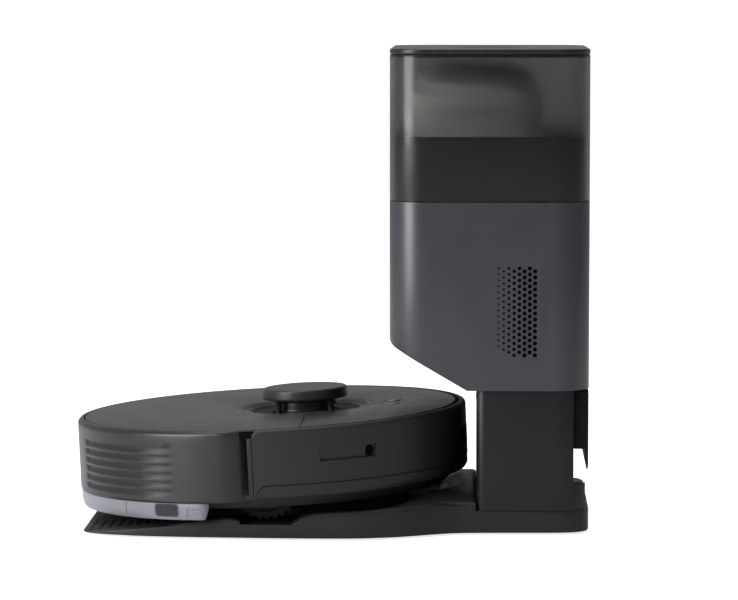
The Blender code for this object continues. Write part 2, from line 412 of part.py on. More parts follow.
add("caster_wheel", lathe_bm([(0.0016, -0.0098), (0.0075, -0.0098), (0.0092, -0.0070), (0.0092, 0.0070), (0.0075, 0.0098), (0.0016, 0.0098)], (0.1180, 0.0, 0.0100), "Y", 28), "rubber", ROBOT, (0.1180, 0.0, 0.0100))

# main brush and its frame
brush = add("main_brush", rod_bm((0.059, 0.0, 0.0205), -0.0810, 0.0810, 0.0120, "Y", 24), "rubber", ROBOT, (0.059, 0.0, 0.0205))
for k in range(6):
    blade = box_bm(0.0100, 0.0180, -0.0800, 0.0800, -0.0008, 0.0008)
    bmesh.ops.rotate(blade, verts=blade.verts, cent=(0, 0, 0), matrix=Matrix.Rotation(k * math.pi / 3 + 0.5, 3, "Y"))
    bmesh.ops.translate(blade, verts=blade.verts, vec=(0.059, 0.0, 0.0205))
    boolean(brush, cutter(blade, ROBOT), "UNION")
frame = add("brush_cover", box_bm(0.0303, 0.0877, -0.0877, 0.0877, 0.0085, 0.0150), "shell", ROBOT)
boolean(frame, cutter(box_bm(0.0385, 0.0795, -0.0835, 0.0835, 0.0, 0.0300), ROBOT))

# side brush, three arms
side_brush = add("side_brush", rod_bm((0.100, 0.105, 0.0), 0.0050, 0.0100, 0.0110, steps=24), "dark", ROBOT, (0.100, 0.105, 0.0050))
boolean(side_brush, cutter(rod_bm((0.100, 0.105, 0.0), 0.0095, 0.0218, 0.0026, steps=16), ROBOT), "UNION")
for k in range(3):
    a = math.radians(25 + 120 * k)
    blade = prism_bm([(0.008, -0.0020), (0.0400, -0.0045), (0.0440, 0.0), (0.0400, 0.0045), (0.008, 0.0020)], 0.0055, 0.0080)
    bmesh.ops.rotate(blade, verts=blade.verts, cent=(0, 0, 0), matrix=Matrix.Rotation(a, 3, "Z"))
    bmesh.ops.translate(blade, verts=blade.verts, vec=(0.100, 0.105, 0.0))
    boolean(side_brush, cutter(blade, ROBOT), "UNION")
add("side_brush_motor", rod_bm((0.100, 0.105, 0.0), 0.0228, 0.0480, 0.0150, steps=20), "metal", ROBOT, (0.100, 0.105, 0.0228))

# mop bracket clipped under the tail, with its cloth
bracket_in = [(-0.0500, 0.1585), (-0.0560, 0.1590)] + [(0.1715 * math.cos(math.radians(a)), 0.1715 * math.sin(math.radians(a))) for a in range(112, 181, 6)]
half = [(x, y) for x, y in bracket_in]
outline = half + [(x, -y) for x, y in reversed(half[:-1])]
outline = [p for p in outline] + [(-0.0600, -0.1450), (-0.0760, -0.1250), (-0.0760, 0.1250), (-0.0600, 0.1450)]
bracket = add("mop_bracket", prism_bm(outline, 0.0050, 0.0100), "milky", ROBOT, (-0.120, 0.0, 0.0075))
rim = lathe_bm([(0.1665, 0.0030), (0.1705, 0.0030), (0.1722, 0.0050), (0.1722, 0.0140), (0.1712, 0.0166), (0.1682, 0.0166), (0.1665, 0.0140)], steps=44, start=math.radians(112), sweep=math.radians(136))
boolean(bracket, cutter(rim, ROBOT), "UNION")
cloth = [(0.1640 * math.cos(math.radians(a)), 0.1640 * math.sin(math.radians(a))) for a in range(116, 245, 4)]
add("mop_cloth", prism_bm(cloth + [(-0.0800, -0.1220), (-0.0800, 0.1220)], 0.0017, 0.0047), "cloth", ROBOT, (-0.120, 0.0, 0.0032))
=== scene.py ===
"""Looks for a robot vacuum parked on its self-emptying dock.

Shells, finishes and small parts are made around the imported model, which stays as it is.
"""
import json
from math import acos, copysign, cos, exp, pi, radians, sin, sqrt, tan

import bmesh
import bpy
from bpy.props import FloatProperty, FloatVectorProperty, IntProperty, PointerProperty
from mathutils import Matrix, Vector


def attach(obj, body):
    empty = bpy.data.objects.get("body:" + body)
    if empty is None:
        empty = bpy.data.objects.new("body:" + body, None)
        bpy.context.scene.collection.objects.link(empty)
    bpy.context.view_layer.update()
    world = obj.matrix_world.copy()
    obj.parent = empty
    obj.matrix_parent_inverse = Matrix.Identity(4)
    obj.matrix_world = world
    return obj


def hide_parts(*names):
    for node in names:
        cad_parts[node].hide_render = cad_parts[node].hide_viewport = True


bl_info = {
    "name": "Robot Vacuum and Dock",
    "version": (1, 0, 0),
    "blender": (4, 5, 0),
    "location": "View3D > Sidebar > Robot Vacuum",
    "description": "Builds the shells, soft parts and finishes of a docked robot vacuum",
    "category": "Object",
}

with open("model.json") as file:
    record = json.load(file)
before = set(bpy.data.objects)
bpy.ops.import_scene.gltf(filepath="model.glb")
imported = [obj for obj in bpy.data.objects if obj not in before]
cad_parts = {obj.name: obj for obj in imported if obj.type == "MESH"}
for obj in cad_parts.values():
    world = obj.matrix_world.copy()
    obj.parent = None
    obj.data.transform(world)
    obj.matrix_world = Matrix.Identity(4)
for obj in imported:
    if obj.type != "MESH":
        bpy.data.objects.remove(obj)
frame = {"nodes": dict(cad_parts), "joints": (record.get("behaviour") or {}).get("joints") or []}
NODES = frame["nodes"]
JOINTS = {joint["name"]: joint for joint in frame["joints"]}
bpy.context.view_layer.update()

# The robot stands nose up on the ramp, so its pieces are drawn level and then tipped into place.
ROBOT_UP = Vector(JOINTS["lidar_spin"]["axis"]).normalized()
ROBOT_AHEAD = Vector((0.0, 1.0, 0.0)).cross(ROBOT_UP)
TIP = Matrix((ROBOT_AHEAD, (0.0, 1.0, 0.0), ROBOT_UP)).transposed()
TURRET_X = 0.032
ROBOT_ORIGIN = Vector(JOINTS["lidar_spin"]["pos_m"]) - TIP @ Vector((TURRET_X, 0.0, 0.080))
ROBOT = Matrix.Translation(ROBOT_ORIGIN) @ TIP.to_4x4()
DOCK = Matrix.Translation((ROBOT_ORIGIN.x, 0.0, 0.0))
DOCK_BODIES = ("dock", "cover", "bag", "contact_r", "contact_l", "blower_rotor")

SHARP = radians(32)
SIDES = (("right", -1), ("left", 1))
TOWER_X0 = 0.1057
TOWER_X1 = 0.2797
TOWER_HALF = 0.1190
TOWER_CORNER = 0.032
PLATE_TOP = 0.0795
HINGE_X = 0.0343
KEY_X = 0.110
KEY_Y = 0.013


# ------------------------------------------------------------------ user values
def length(name, description, default):
    return FloatProperty(
        name=name, description=description, default=default, subtype="DISTANCE", unit="LENGTH"
    )


def colour(name, description, default):
    kind = {"subtype": "COLOR", "size": 3, "min": 0, "max": 1}
    return FloatVectorProperty(name=name, description=description, default=default, **kind)


class RobotSizes(bpy.types.PropertyGroup):
    """Sizes and colours of the robot."""

    shell_radius: length("Shell radius", "Radius of the rear shell", 0.1728)
    bumper_radius: length("Bumper radius", "Radius of the bumper's outside", 0.1755)
    plate_radius: length("Plate radius", "Radius of the top plate", 0.1662)
    louvres: IntProperty(
        name="Louvres", description="Grooves across the rear shell", default=6, min=0, max=9
    )
    louvre_pitch: length("Louvre pitch", "Height between grooves", 0.0075)
    tread_blocks: IntProperty(
        name="Tread blocks", description="Blocks round each tyre", default=30, min=8, max=60
    )
    shell_colour: colour("Shell colour", "Rear shell moulding", (0.0170, 0.0170, 0.0181))
    plate_colour: colour("Plate colour", "Lid and front cover", (0.034, 0.034, 0.0352))
    bumper_colour: colour("Bumper colour", "Bumper moulding", (0.0185, 0.0185, 0.0192))
    bracket_colour: colour("Bracket colour", "Milky mop bracket", (0.205, 0.21, 0.238))


class DockSizes(bpy.types.PropertyGroup):
    """Sizes and colours of the dock."""

    vent_columns: IntProperty(
        name="Vent columns", description="Columns of holes in each side vent", default=8, min=2, max=16
    )
    vent_pitch: length("Vent pitch", "Width between columns of holes", 0.0045)
    vent_row_pitch: length("Vent row pitch", "Height between holes", 0.0052)
    rib_pitch: length("Rib pitch", "Distance between the ramp's ribs", 0.0080)
    smoke_depth: FloatProperty(
        name="Cover clearness", description="Share of light that the smoked cover lets through",
        default=0.40, min=0, max=1, subtype="FACTOR"
    )
    housing_colour: colour("Housing colour", "Slate housing", (0.034, 0.0358, 0.0415))
    column_colour: colour("Column colour", "Dark column", (0.0066, 0.0066, 0.0074))
    base_colour: colour("Base colour", "Base and ramp", (0.0130, 0.0136, 0.0138))
    bag_colour: colour("Bag colour", "Paper dust bag", (0.80, 0.765, 0.71))


# ------------------------------------------------------------------ shader maths
class Term:
    """A shader value that plain arithmetic can be written on."""

    def __init__(self, shade, socket):
        self.shade = shade
        self.socket = socket

    def __add__(self, other):
        return self.shade.maths("ADD", self, other)

    def __sub__(self, other):
        return self.shade.maths("SUBTRACT", self, other)

    def __rsub__(self, other):
        return self.shade.maths("SUBTRACT", other, self)

    def __mul__(self, other):
        return self.shade.maths("MULTIPLY", self, other)

    def __lt__(self, other):
        return self.shade.maths("LESS_THAN", self, other)

    def __gt__(self, other):
        return self.shade.maths("GREATER_THAN", self, other)

    __radd__ = __add__
    __rmul__ = __mul__


class Shade:
    """One Principled material, built up from nodes."""

    def __init__(self, name, colour, rough, **constants):
        self.material = bpy.data.materials.new(name)
        self.material.use_nodes = True
        self.material.diffuse_color = (*colour[:3], 1.0)
        self.nodes = self.material.node_tree.nodes
        self.links = self.material.node_tree.links
        self.surface = self.nodes["Principled BSDF"]
        self.base = tuple(colour[:3])
        self.set(Base_Color=(*self.base, 1.0), Roughness=rough, **constants)
        self.at = self.node("ShaderNodeTexCoord").outputs["Object"]

    def node(self, kind, settings=None, **inputs):
        """Adds a node: its settings first, then the values or links of its sockets."""
        made = self.nodes.new(kind)
        for key, value in (settings or {}).items():
            if key == "stops":
                ramp = made.color_ramp
                for place, grey in value:
                    stop = ramp.elements.new(place)
                    stop.color = (grey, grey, grey, 1.0)
                ramp.elements.remove(ramp.elements[-1 if value[-1][0] < 1.0 else 0])
                ramp.elements.remove(ramp.elements[0])
            else:
                setattr(made, key, value)
        for key, value in inputs.items():
            self.join(
                made.inputs[int(key[1:])] if key[0] == "_" else made.inputs[key.replace("_", " ")], value
            )
        return made

    def join(self, socket, value):
        if isinstance(value, Term):
            value = value.socket
        if isinstance(value, bpy.types.NodeSocket):
            self.links.new(value, socket)
        else:
            socket.default_value = value

    def maths(self, operation, first, second=0.0):
        made = self.node("ShaderNodeMath", {"operation": operation}, _0=first, _1=second)
        return Term(self, made.outputs[0])

    def set(self, **inputs):
        for key, value in inputs.items():
            self.join(self.surface.inputs[key.replace("_", " ")], value)
        return self

    def placed(self, scale=(1.0, 1.0, 1.0), turn=(0.0, 0.0, 0.0), shift=(0.0, 0.0, 0.0)):
        """Object coordinates, turned and stretched."""
        return self.node(
            "ShaderNodeMapping", Vector=self.at, Scale=scale, Rotation=turn, Location=shift
        ).outputs[0]

    def noise(self, scale, detail=2.0, rough=0.5, at=None):
        made = self.node(
            "ShaderNodeTexNoise", Vector=at or self.at, Scale=scale, Detail=detail, Roughness=rough
        )
        return Term(self, made.outputs["Fac"])

    def cells(self, scale):
        made = self.node("ShaderNodeTexVoronoi", {"feature": "F1"}, Vector=self.at, Scale=scale)
        return Term(self, made.outputs["Distance"])

    def waves(self, scale, direction="X", distortion=0.0, profile="SIN"):
        settings = {"bands_direction": direction, "wave_profile": profile}
        made = self.node("ShaderNodeTexWave", settings, Vector=self.at, Scale=scale, Distortion=distortion)
        return Term(self, made.outputs["Fac"])

    def axis(self, index):
        made = self.node("ShaderNodeSeparateXYZ", Vector=self.at)
        return Term(self, made.outputs[index])

    def tint(self, amount, low, high):
        """Base colour that drifts between two strengths of itself."""
        first = tuple(min(1.0, c * low) for c in self.base)
        second = tuple(min(1.0, c * high) for c in self.base)
        return self.between(amount, first, second)

    def between(self, amount, first, second):
        made = self.node("ShaderNodeMix", {"data_type": "RGBA"}, Factor=amount)
        self.join(made.inputs[6], (*first, 1.0) if isinstance(first, tuple) else first)
        self.join(made.inputs[7], (*second, 1.0) if isinstance(second, tuple) else second)
        self.set(Base_Color=made.outputs[2])
        return made.outputs[2]

    def relief(self, height, distance, strength=1.0):
        made = self.node("ShaderNodeBump", Height=height, Distance=distance, Strength=strength)
        self.set(Normal=made.outputs[0])
        return self


def moulded(name, colour, rough=0.42, grain=0.0005, depth=0.000035, specular=0.35):
    """Spark-eroded moulded plastic: fine grain, slight sheen drift and faint handling marks."""
    shade = Shade(name, colour, rough, Specular_IOR_Level=specular)
    fine = shade.noise(1.0 / grain, 3.0, 0.6)
    broad = shade.noise(26.0, 2.0)
    rubs = shade.noise(1.0, 2.0, at=shade.placed((180.0, 35.0, 60.0), (0.3, 0.2, 0.7)))
    shade.tint(broad * 0.6 + fine * 0.4, 0.86, 1.14)
    shade.set(Roughness=broad * 0.10 + fine * 0.05 + (rubs > 0.62) * 0.03 + (rough - 0.08))
    return shade.relief(fine + rubs * 0.15, depth).material


def rubbery(name, colour, rough=0.78):
    """Matte rubber with a dusty bloom and small pores."""
    shade = Shade(name, colour, rough, Specular_IOR_Level=0.25)
    pores = shade.cells(900.0)
    bloom = shade.noise(60.0, 4.0, 0.6)
    shade.tint(bloom, 0.7, 1.7)
    shade.set(Roughness=bloom * 0.14 + (rough - 0.07))
    return shade.relief(pores * 0.6 + bloom * 0.4, 0.00005).material


def clear_plastic(name, colour, alpha, rough=0.14, coat=0.25):
    """Tinted see-through moulding with faint swirl marks."""
    shade = Shade(
        name, colour, rough, Alpha=alpha, Coat_Weight=coat, Coat_Roughness=0.05, Specular_IOR_Level=0.5
    )
    swirl = shade.noise(9.0, 3.0, 0.6)
    scuffs = shade.noise(1.0, 3.0, at=shade.placed((300.0, 40.0, 300.0), (0.2, 0.5, 0.1)))
    shade.tint(swirl, 0.85, 1.15)
    shade.set(Roughness=scuffs * 0.06 + swirl * 0.05 + (rough - 0.05))
    return shade.relief(swirl, 0.00004, 0.5).material


def frosted(name, colour, rough=0.23):
    """Smoked moulding that blurs what stands behind it, with faint flow marks."""
    shade = Shade(name, colour, rough, Transmission_Weight=1.0, IOR=1.36, Specular_IOR_Level=0.5)
    flow = shade.noise(7.0, 3.0, 0.6)
    scuffs = shade.noise(1.0, 3.0, at=shade.placed((260.0, 40.0, 260.0), (0.2, 0.5, 0.1)))
    shade.tint(flow, 0.88, 1.12)
    shade.set(Roughness=scuffs * 0.03 + flow * 0.02 + (rough - 0.025))
    return shade.relief(flow, 0.00003, 0.5).material


def bare_metal(name, colour, rough=0.32, along=(900.0, 20.0, 20.0)):
    """Metal with a drawn or brushed direction."""
    shade = Shade(name, colour, rough, Metallic=1.0)
    lines = shade.noise(1.0, 3.0, at=shade.placed(along))
    stain = shade.noise(70.0, 3.0)
    shade.tint(stain, 0.82, 1.08)
    shade.set(Roughness=lines * 0.16 + stain * 0.08 + (rough - 0.12))
    return shade.relief(lines, 0.00002, 0.6).material


def microfibre(name, colour):
    """Looped microfibre pile."""
    shade = Shade(name, colour, 0.95, Sheen_Weight=0.35, Sheen_Roughness=0.5, Specular_IOR_Level=0.1)
    loops = shade.cells(950.0)
    rows = shade.waves(260.0, "Y", 1.2)
    shade.tint(loops * 0.9 + rows * 0.3, 0.55, 1.45)
    shade.set(Roughness=rows * 0.06 + 0.88)
    return shade.relief(loops * 0.8 + rows * 0.3, 0.00035).material


def pressed_fibre(name, colour, fibre=420.0, depth=0.00012):
    """Non-woven paper or card: crossed fibres in their own tone, and soft creases with painted shade where
    they dip.
    """
    shade = Shade(name, colour, 0.9, Specular_IOR_Level=0.15, Sheen_Weight=0.1)
    fibres = shade.noise(
        1.0, 4.0, 0.7, at=shade.placed((fibre, fibre * 0.25, fibre * 0.6), (0.5, 0.9, 0.2))
    )
    cross = shade.noise(1.0, 4.0, 0.7, at=shade.placed((fibre * 0.3, fibre, fibre * 0.5), (1.1, 0.1, 0.8)))
    crease = shade.noise(22.0, 3.0, 0.6)
    shade.tint(fibres * 0.35 + cross * 0.25 + crease * 0.5, 0.72, 1.18)
    shade.set(Roughness=crease * 0.1 + 0.84)
    return shade.relief(fibres * 0.5 + cross * 0.4 + crease * 1.5, depth).material


def pleated(name, colour, pitch=0.0025, direction="Y"):
    """Pleated filter paper, with painted shade darkening its folds."""
    shade = Shade(name, colour, 0.92, Specular_IOR_Level=0.1)
    folds = shade.waves(0.314 / pitch, direction, 0.15, profile="TRI")
    fibres = shade.noise(700.0, 3.0)
    shade.tint(folds * 0.8 + fibres * 0.3, 0.35, 1.1)
    shade.set(Roughness=fibres * 0.08 + 0.86)
    return shade.relief(folds * 4.0 + fibres * 0.3, 0.0006).material


def lacquered_board(name, colour):
    """Circuit board: solder mask, traces and pads."""
    shade = Shade(name, colour, 0.35, Specular_IOR_Level=0.5)
    brick = shade.node(
        "ShaderNodeTexBrick", {"offset": 0.5}, Vector=shade.placed((1.0, 1.0, 1.0), (0.0, pi / 2, 0.0)),
        Scale=120.0, Mortar_Size=0.03
    )
    traces = Term(shade, brick.outputs["Fac"])
    pads = shade.cells(260.0) < 0.22
    shade.between(traces * 0.55 + pads * 0.45, shade.base, (0.24, 0.30, 0.12))
    shade.set(Metallic=pads * 0.7, Roughness=traces * 0.15 + 0.3)
    return shade.relief(traces + pads, 0.00012).material


def shrink_wrap(name, colour):
    """Printed shrink sleeve pulled over round cells, with painted shade in the dips between the cells."""
    shade = Shade(name, colour, 0.3, Coat_Weight=0.3, Specular_IOR_Level=0.5)
    cells = shade.waves(0.314 / 0.0105, "X", 0.0)
    wrinkles = shade.noise(160.0, 4.0, 0.6)
    shade.tint(cells * 0.7 + wrinkles * 0.3, 0.6, 1.1)
    shade.set(Roughness=wrinkles * 0.2 + 0.22)
    return shade.relief(cells * 2.0 + wrinkles * 0.4, 0.0009).material


def lamp(name, colour, strength):
    """A frosted light guide, faintly lit."""
    shade = Shade(name, colour, 0.5, Emission_Strength=strength)
    glow = shade.noise(180.0, 2.0)
    shade.tint(glow, 0.8, 1.1)
    shade.set(
        Emission_Color=shade.node(
            "ShaderNodeMix", {"data_type": "RGBA"}, Factor=glow, _6=(*colour, 1.0), _7=(1.0, 1.0, 1.0, 1.0)
        ).outputs[2]
    )
    return shade.relief(glow, 0.00003).material


def build_finishes():
    """Every finish of the object, by a plain name."""
    robot, dock = bpy.context.scene.robot_sizes, bpy.context.scene.dock_sizes
    black = (0.009, 0.009, 0.010)
    return {
        "shell": moulded("shell_moulding", robot.shell_colour, 0.31, specular=0.4),
        "plate": moulded("plate_moulding", robot.plate_colour, 0.36, 0.0004, specular=0.38),
        "front": moulded(
            "front_cover_moulding", tuple(c * 0.58 for c in robot.plate_colour), 0.34, 0.0004, specular=0.36
        ),
        "bumper": moulded("bumper_moulding", robot.bumper_colour, 0.46),
        "chassis": moulded("chassis_moulding", (0.014, 0.014, 0.015), 0.55, 0.0007, 0.00005),
        "inner": moulded("inner_moulding", black, 0.60, 0.0009, 0.00005, 0.2),
        "ridge": moulded("turret_ridges", (0.095, 0.095, 0.10), 0.34, 0.0004),
        "housing": moulded("housing_moulding", dock.housing_colour, 0.31, 0.0005, 0.00002, 0.5),
        "column": moulded("column_moulding", dock.column_colour, 0.40),
        "base": moulded("base_moulding", dock.base_colour, 0.46, 0.0006, 0.00005),
        "rim": moulded("rim_moulding", (0.012, 0.012, 0.014), 0.28, 0.0004),
        "smoke": frosted("smoked_cover", (dock.smoke_depth,) * 3),
        "lens": clear_plastic("infrared_lens", (0.006, 0.004, 0.006), 0.96, 0.08, 0.5),
        "bin": clear_plastic("bin_plastic", (0.030, 0.028, 0.027), 0.70, 0.2),
        "milky": clear_plastic("milky_bracket", robot.bracket_colour, 0.90, 0.30, 0.15),
        "milky_seam": clear_plastic(
            "milky_seam", tuple(c * 0.55 for c in robot.bracket_colour), 1.0, 0.4, 0.0
        ),
        "rubber": rubbery("black_rubber", (0.010, 0.010, 0.010)),
        "tread": rubbery("tyre_tread", (0.022, 0.023, 0.022), 0.62),
        "soft_rubber": rubbery("brush_rubber", (0.028, 0.006, 0.005), 0.6),
        "bristle": rubbery("nylon_bristle", (0.020, 0.020, 0.022), 0.5),
        "steel": bare_metal("plain_steel", (0.52, 0.52, 0.53)),
        "contact": bare_metal("plated_contact", (0.13, 0.12, 0.10), 0.34, (30.0, 900.0, 30.0)),
        "cloth": microfibre("mop_microfibre", (0.060, 0.066, 0.085)),
        "hook_tape": microfibre("hook_tape", (0.026, 0.027, 0.030)),
        "paper": pressed_fibre("bag_paper", dock.bag_colour),
        "card": pressed_fibre("collar_card", (0.36, 0.25, 0.15), 260.0, 0.00008),
        "filter": pleated("filter_pleats", (0.72, 0.73, 0.70)),
        "board": lacquered_board("board_lacquer", (0.010, 0.075, 0.030)),
        "cells": shrink_wrap("battery_sleeve", (0.32, 0.035, 0.015)),
        "light": lamp("light_guide", (0.20, 0.205, 0.22), 0.02),
        "mark": moulded("button_marks", (0.055, 0.055, 0.058), 0.40),
        # Near-black, almost unreflective finish: painted shade that stands in for the darkness inside holes
        # and gaps
        "pit": moulded("painted_pit_shade", (0.003, 0.003, 0.003), 0.8, specular=0.05),
    }


# ------------------------------------------------------------------ mesh tools
def fillet(points, closed=True, steps=5):
    """Rounds the corners of an outline whose points are (a, b) or (a, b, radius)."""
    out = []
    count = len(points)
    for i, point in enumerate(points):
        here = Vector(point[:2])
        radius = point[2] if len(point) > 2 else 0.0
        if radius <= 0.0 or (not closed and i in (0, count - 1)):
            out.append(tuple(here))
            continue
        back = (Vector(points[i - 1][:2]) - here).normalized()
        ahead = (Vector(points[(i + 1) % count][:2]) - here).normalized()
        half = back.angle(ahead) / 2
        if half > pi / 2 - 0.01:
            out.append(tuple(here))
            continue
        reach = radius / tan(half)
        centre = here + (back + ahead).normalized() * (radius / sin(half))
        first = here + back * reach - centre
        turn = pi - 2 * half
        if back.x * ahead.y - back.y * ahead.x > 0:
            turn = -turn
        for k in range(steps + 1):
            out.append(tuple(centre + Matrix.Rotation(turn * k / steps, 2) @ first))
    return out


def rectangle(x0, x1, y0, y1, radius=0.0, steps=8):
    """A rectangle's outline, with its corners rounded."""
    return fillet([(x0, y0, radius), (x1, y0, radius), (x1, y1, radius), (x0, y1, radius)], steps=steps)


def smoothed(points, steps=4, closed=True):
    """A smooth curve passed through points."""
    out = []
    count = len(points)
    for i in range(count if closed else count - 1):
        near = [(i + k) % count if closed else max(0, min(count - 1, i + k)) for k in (-1, 0, 1, 2)]
        p0, p1, p2, p3 = (Vector(points[k]) for k in near)
        for k in range(steps):
            t = k / steps
            bend = 2 * p0 - 5 * p1 + 4 * p2 - p3
            twist = 3 * p1 - p0 - 3 * p2 + p3
            out.append(tuple(0.5 * (2 * p1 + (p2 - p0) * t + bend * t ** 2 + twist * t ** 3)))
    return out if closed else out + [tuple(points[-1])]


def bridge(bm, rings, closed=True, caps=True):
    """Joins rings of points with faces, and closes the two ends."""
    made = [[bm.verts.new(p) for p in ring] for ring in rings]
    count = len(made[0])
    for low, high in zip(made, made[1:]):
        for i in range(count if closed else count - 1):
            j = (i + 1) % count
            bm.faces.new((low[i], low[j], high[j], high[i]))
    if caps:
        bm.faces.new(list(reversed(made[0])))
        bm.faces.new(made[-1])
    return made


def prism(outline, low, high, axis="Z"):
    """An outline made thick along an axis, from low to high."""
    order = {"Z": (0, 1, 2), "Y": (0, 2, 1), "X": (2, 0, 1)}[axis]
    bm = bmesh.new()
    bridge(bm, [[tuple((a, b, level)[k] for k in order) for a, b in outline] for level in (low, high)])
    return bm


def slab(outline, side, near, far):
    """An outline in X and Z, thick from near to far on one side of the middle."""
    return prism(outline, *sorted((side * near, side * far)), "Y")


def block(x0, x1, y0, y1, z0, z1):
    """A box between its two corners."""
    return prism([(x0, y0), (x1, y0), (x1, y1), (x0, y1)], z0, z1)


def turned(profile, centre=(0.0, 0.0, 0.0), axis="Z", steps=96):
    """Revolves a profile of (radius, height), which may start and end on the axis."""
    bm = bmesh.new()
    rings = []
    for i in range(steps):
        angle = 2 * pi * i / steps
        c, s = cos(angle), sin(angle)
        ring = []
        for r, h in profile:
            spot = {"Z": (r * c, r * s, h), "Y": (r * s, h, r * c), "X": (h, r * c, r * s)}[axis]
            ring.append(bm.verts.new(Vector(centre) + Vector(spot)))
        rings.append(ring)
    count = len(profile)
    for i in range(steps):
        first, second = rings[i], rings[(i + 1) % steps]
        for k in range(count):
            m = (k + 1) % count
            if profile[k][0] < 1e-9 and profile[m][0] < 1e-9:
                continue
            bm.faces.new((first[k], first[m], second[m], second[k]))
    bmesh.ops.remove_doubles(bm, verts=bm.verts, dist=1e-7)
    bmesh.ops.dissolve_degenerate(bm, edges=bm.edges, dist=1e-7)
    return bm


def disc(radius, low, high, edge, centre, axis="Z", steps=64):
    """A round slab with softened edges."""
    inner = radius - edge * 2
    side = [(inner, low), (radius, low, edge), (radius, high, edge), (inner, high)]
    profile = [(0.0, low)] + fillet(side, False, 4) + [(0.0, high)]
    return turned(profile, centre, axis, steps)


def swept(profile, path):
    """Carries a closed profile of (outward offset, height) along a plan path of (point, outward)."""
    bm = bmesh.new()
    rings = []
    for i, (p, n) in enumerate(path):
        section = profile(i, len(path)) if callable(profile) else profile
        rings.append([(p.x + n.x * d, p.y + n.y * d, h) for d, h in section])
    bridge(bm, rings)
    return bm


def arc_path(radius, first, last, steps):
    """A plan path round the robot's centre."""
    path = []
    for i in range(steps + 1):
        angle = first + (last - first) * i / steps
        outward = Vector((cos(angle), sin(angle)))
        path.append((outward * radius, outward))
    return path


def turned_in(path, radius, sweep, steps=6):
    """The path with both of its ends rolled inwards on a small radius."""
    out = list(path)
    for end in (0, -1):
        point, outward = path[end]
        along = (path[end][0] - path[1 if end == 0 else -2][0]).normalized()
        centre = point - outward * radius
        extra = []
        for k in range(1, steps + 1):
            a = sweep * k / steps
            normal = outward * cos(a) + along * sin(a)
            extra.append((centre + normal * radius, normal))
        out = list(reversed(extra)) + out if end == 0 else out + extra
    return out


def blank(name, bm):
    """A mesh object from a bmesh, with its faces turned outwards."""
    bmesh.ops.remove_doubles(bm, verts=bm.verts, dist=1e-7)
    bmesh.ops.recalc_face_normals(bm, faces=bm.faces)
    mesh = bpy.data.meshes.new(name)
    bm.to_mesh(mesh)
    bm.free()
    obj = bpy.data.objects.new(name, mesh)
    bpy.context.scene.collection.objects.link(obj)
    return obj


def carve(obj, *cutters):
    """Cuts helper shapes out of an object."""
    for bm in cutters:
        tool = blank("tool", bm)
        step = obj.modifiers.new("carve", "BOOLEAN")
        step.operation = "DIFFERENCE"
        step.solver = "EXACT"
        step.object = tool
        settle(obj)
        bpy.data.objects.remove(tool)
    return obj


def soften(obj, width, segments=3, angle=SHARP):
    """Rounds the sharp edges of a moulding."""
    step = obj.modifiers.new("soften", "BEVEL")
    step.width = width
    step.segments = segments
    step.limit_method = "ANGLE"
    step.angle_limit = angle
    step.use_clamp_overlap = True
    return settle(obj)


def settle(obj):
    """Replaces the mesh with what the modifiers make of it."""
    graph = bpy.context.evaluated_depsgraph_get()
    mesh = bpy.data.meshes.new_from_object(obj.evaluated_get(graph))
    obj.modifiers.clear()
    obj.data = mesh
    return obj


def finish(obj, material, body, replaces=(), slot=None, sharp=SHARP):
    """Tips a piece into place, gives it its finish and hangs it on its body."""
    mesh = obj.data
    mesh.transform(DOCK if body in DOCK_BODIES else ROBOT)
    if material is not None:
        mesh.materials.clear()
        mesh.materials.append(FINISH[material])
    for face in mesh.polygons:
        face.use_smooth = True
    mesh.set_sharp_from_angle(angle=sharp)
    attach(obj, body)
    if replaces:
        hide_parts(*replaces)
    return obj


def make(name, bm, material, body, replaces=(), slot=None, sharp=SHARP, edge=0.0):
    """A finished piece from a bmesh, with its edges rounded first where edge is given."""
    obj = blank(name, bm)
    if edge:
        soften(obj, edge)
    return finish(obj, material, body, replaces, slot, sharp)


def merged(*parts):
    """Several bmeshes as one."""
    whole = bmesh.new()
    for bm in parts:
        mesh = bpy.data.meshes.new("part")
        bm.to_mesh(mesh)
        bm.free()
        whole.from_mesh(mesh)
        bpy.data.meshes.remove(mesh)
    return whole


# ------------------------------------------------------------------ geometry nodes
class Tree:
    """A geometry node tree with named inputs."""

    def __init__(self, name, **inputs):
        self.group = bpy.data.node_groups.new(name, "GeometryNodeTree")
        self.group.interface.new_socket("Geometry", in_out="INPUT", socket_type="NodeSocketGeometry")
        for label, kind in inputs.items():
            self.group.interface.new_socket(label, in_out="INPUT", socket_type="NodeSocket" + kind)
        self.group.interface.new_socket("Geometry", in_out="OUTPUT", socket_type="NodeSocketGeometry")
        self.given = self.group.nodes.new("NodeGroupInput")
        self.result = self.group.nodes.new("NodeGroupOutput")

    def node(self, kind, settings=None, **inputs):
        made = self.group.nodes.new(kind)
        for key, value in (settings or {}).items():
            setattr(made, key, value)
        for key, value in inputs.items():
            socket = made.inputs[int(key[1:])] if key[0] == "_" else made.inputs[key.replace("_", " ")]
            if isinstance(value, bpy.types.NodeSocket):
                self.group.links.new(value, socket)
            else:
                socket.default_value = value
        return made

    def close(self, geometry):
        """Ends the tree with real geometry in one finish."""
        real = self.node("GeometryNodeRealizeInstances", Geometry=geometry).outputs[0]
        done = self.node(
            "GeometryNodeSetMaterial", Geometry=real, Material=self.given.outputs["Finish"]
        ).outputs[0]
        self.group.links.new(done, self.result.inputs[0])
        return self

    def run(self, name, start, **values):
        """Runs the tree on an object and returns a plain mesh object."""
        step = start.modifiers.new("nodes", "NODES")
        step.node_group = self.group
        for item in self.group.interface.items_tree:
            if item.in_out == "INPUT" and item.name in values:
                step[item.identifier] = values[item.name]
        settle(start)
        start.name = name
        start.data.name = name
        return start


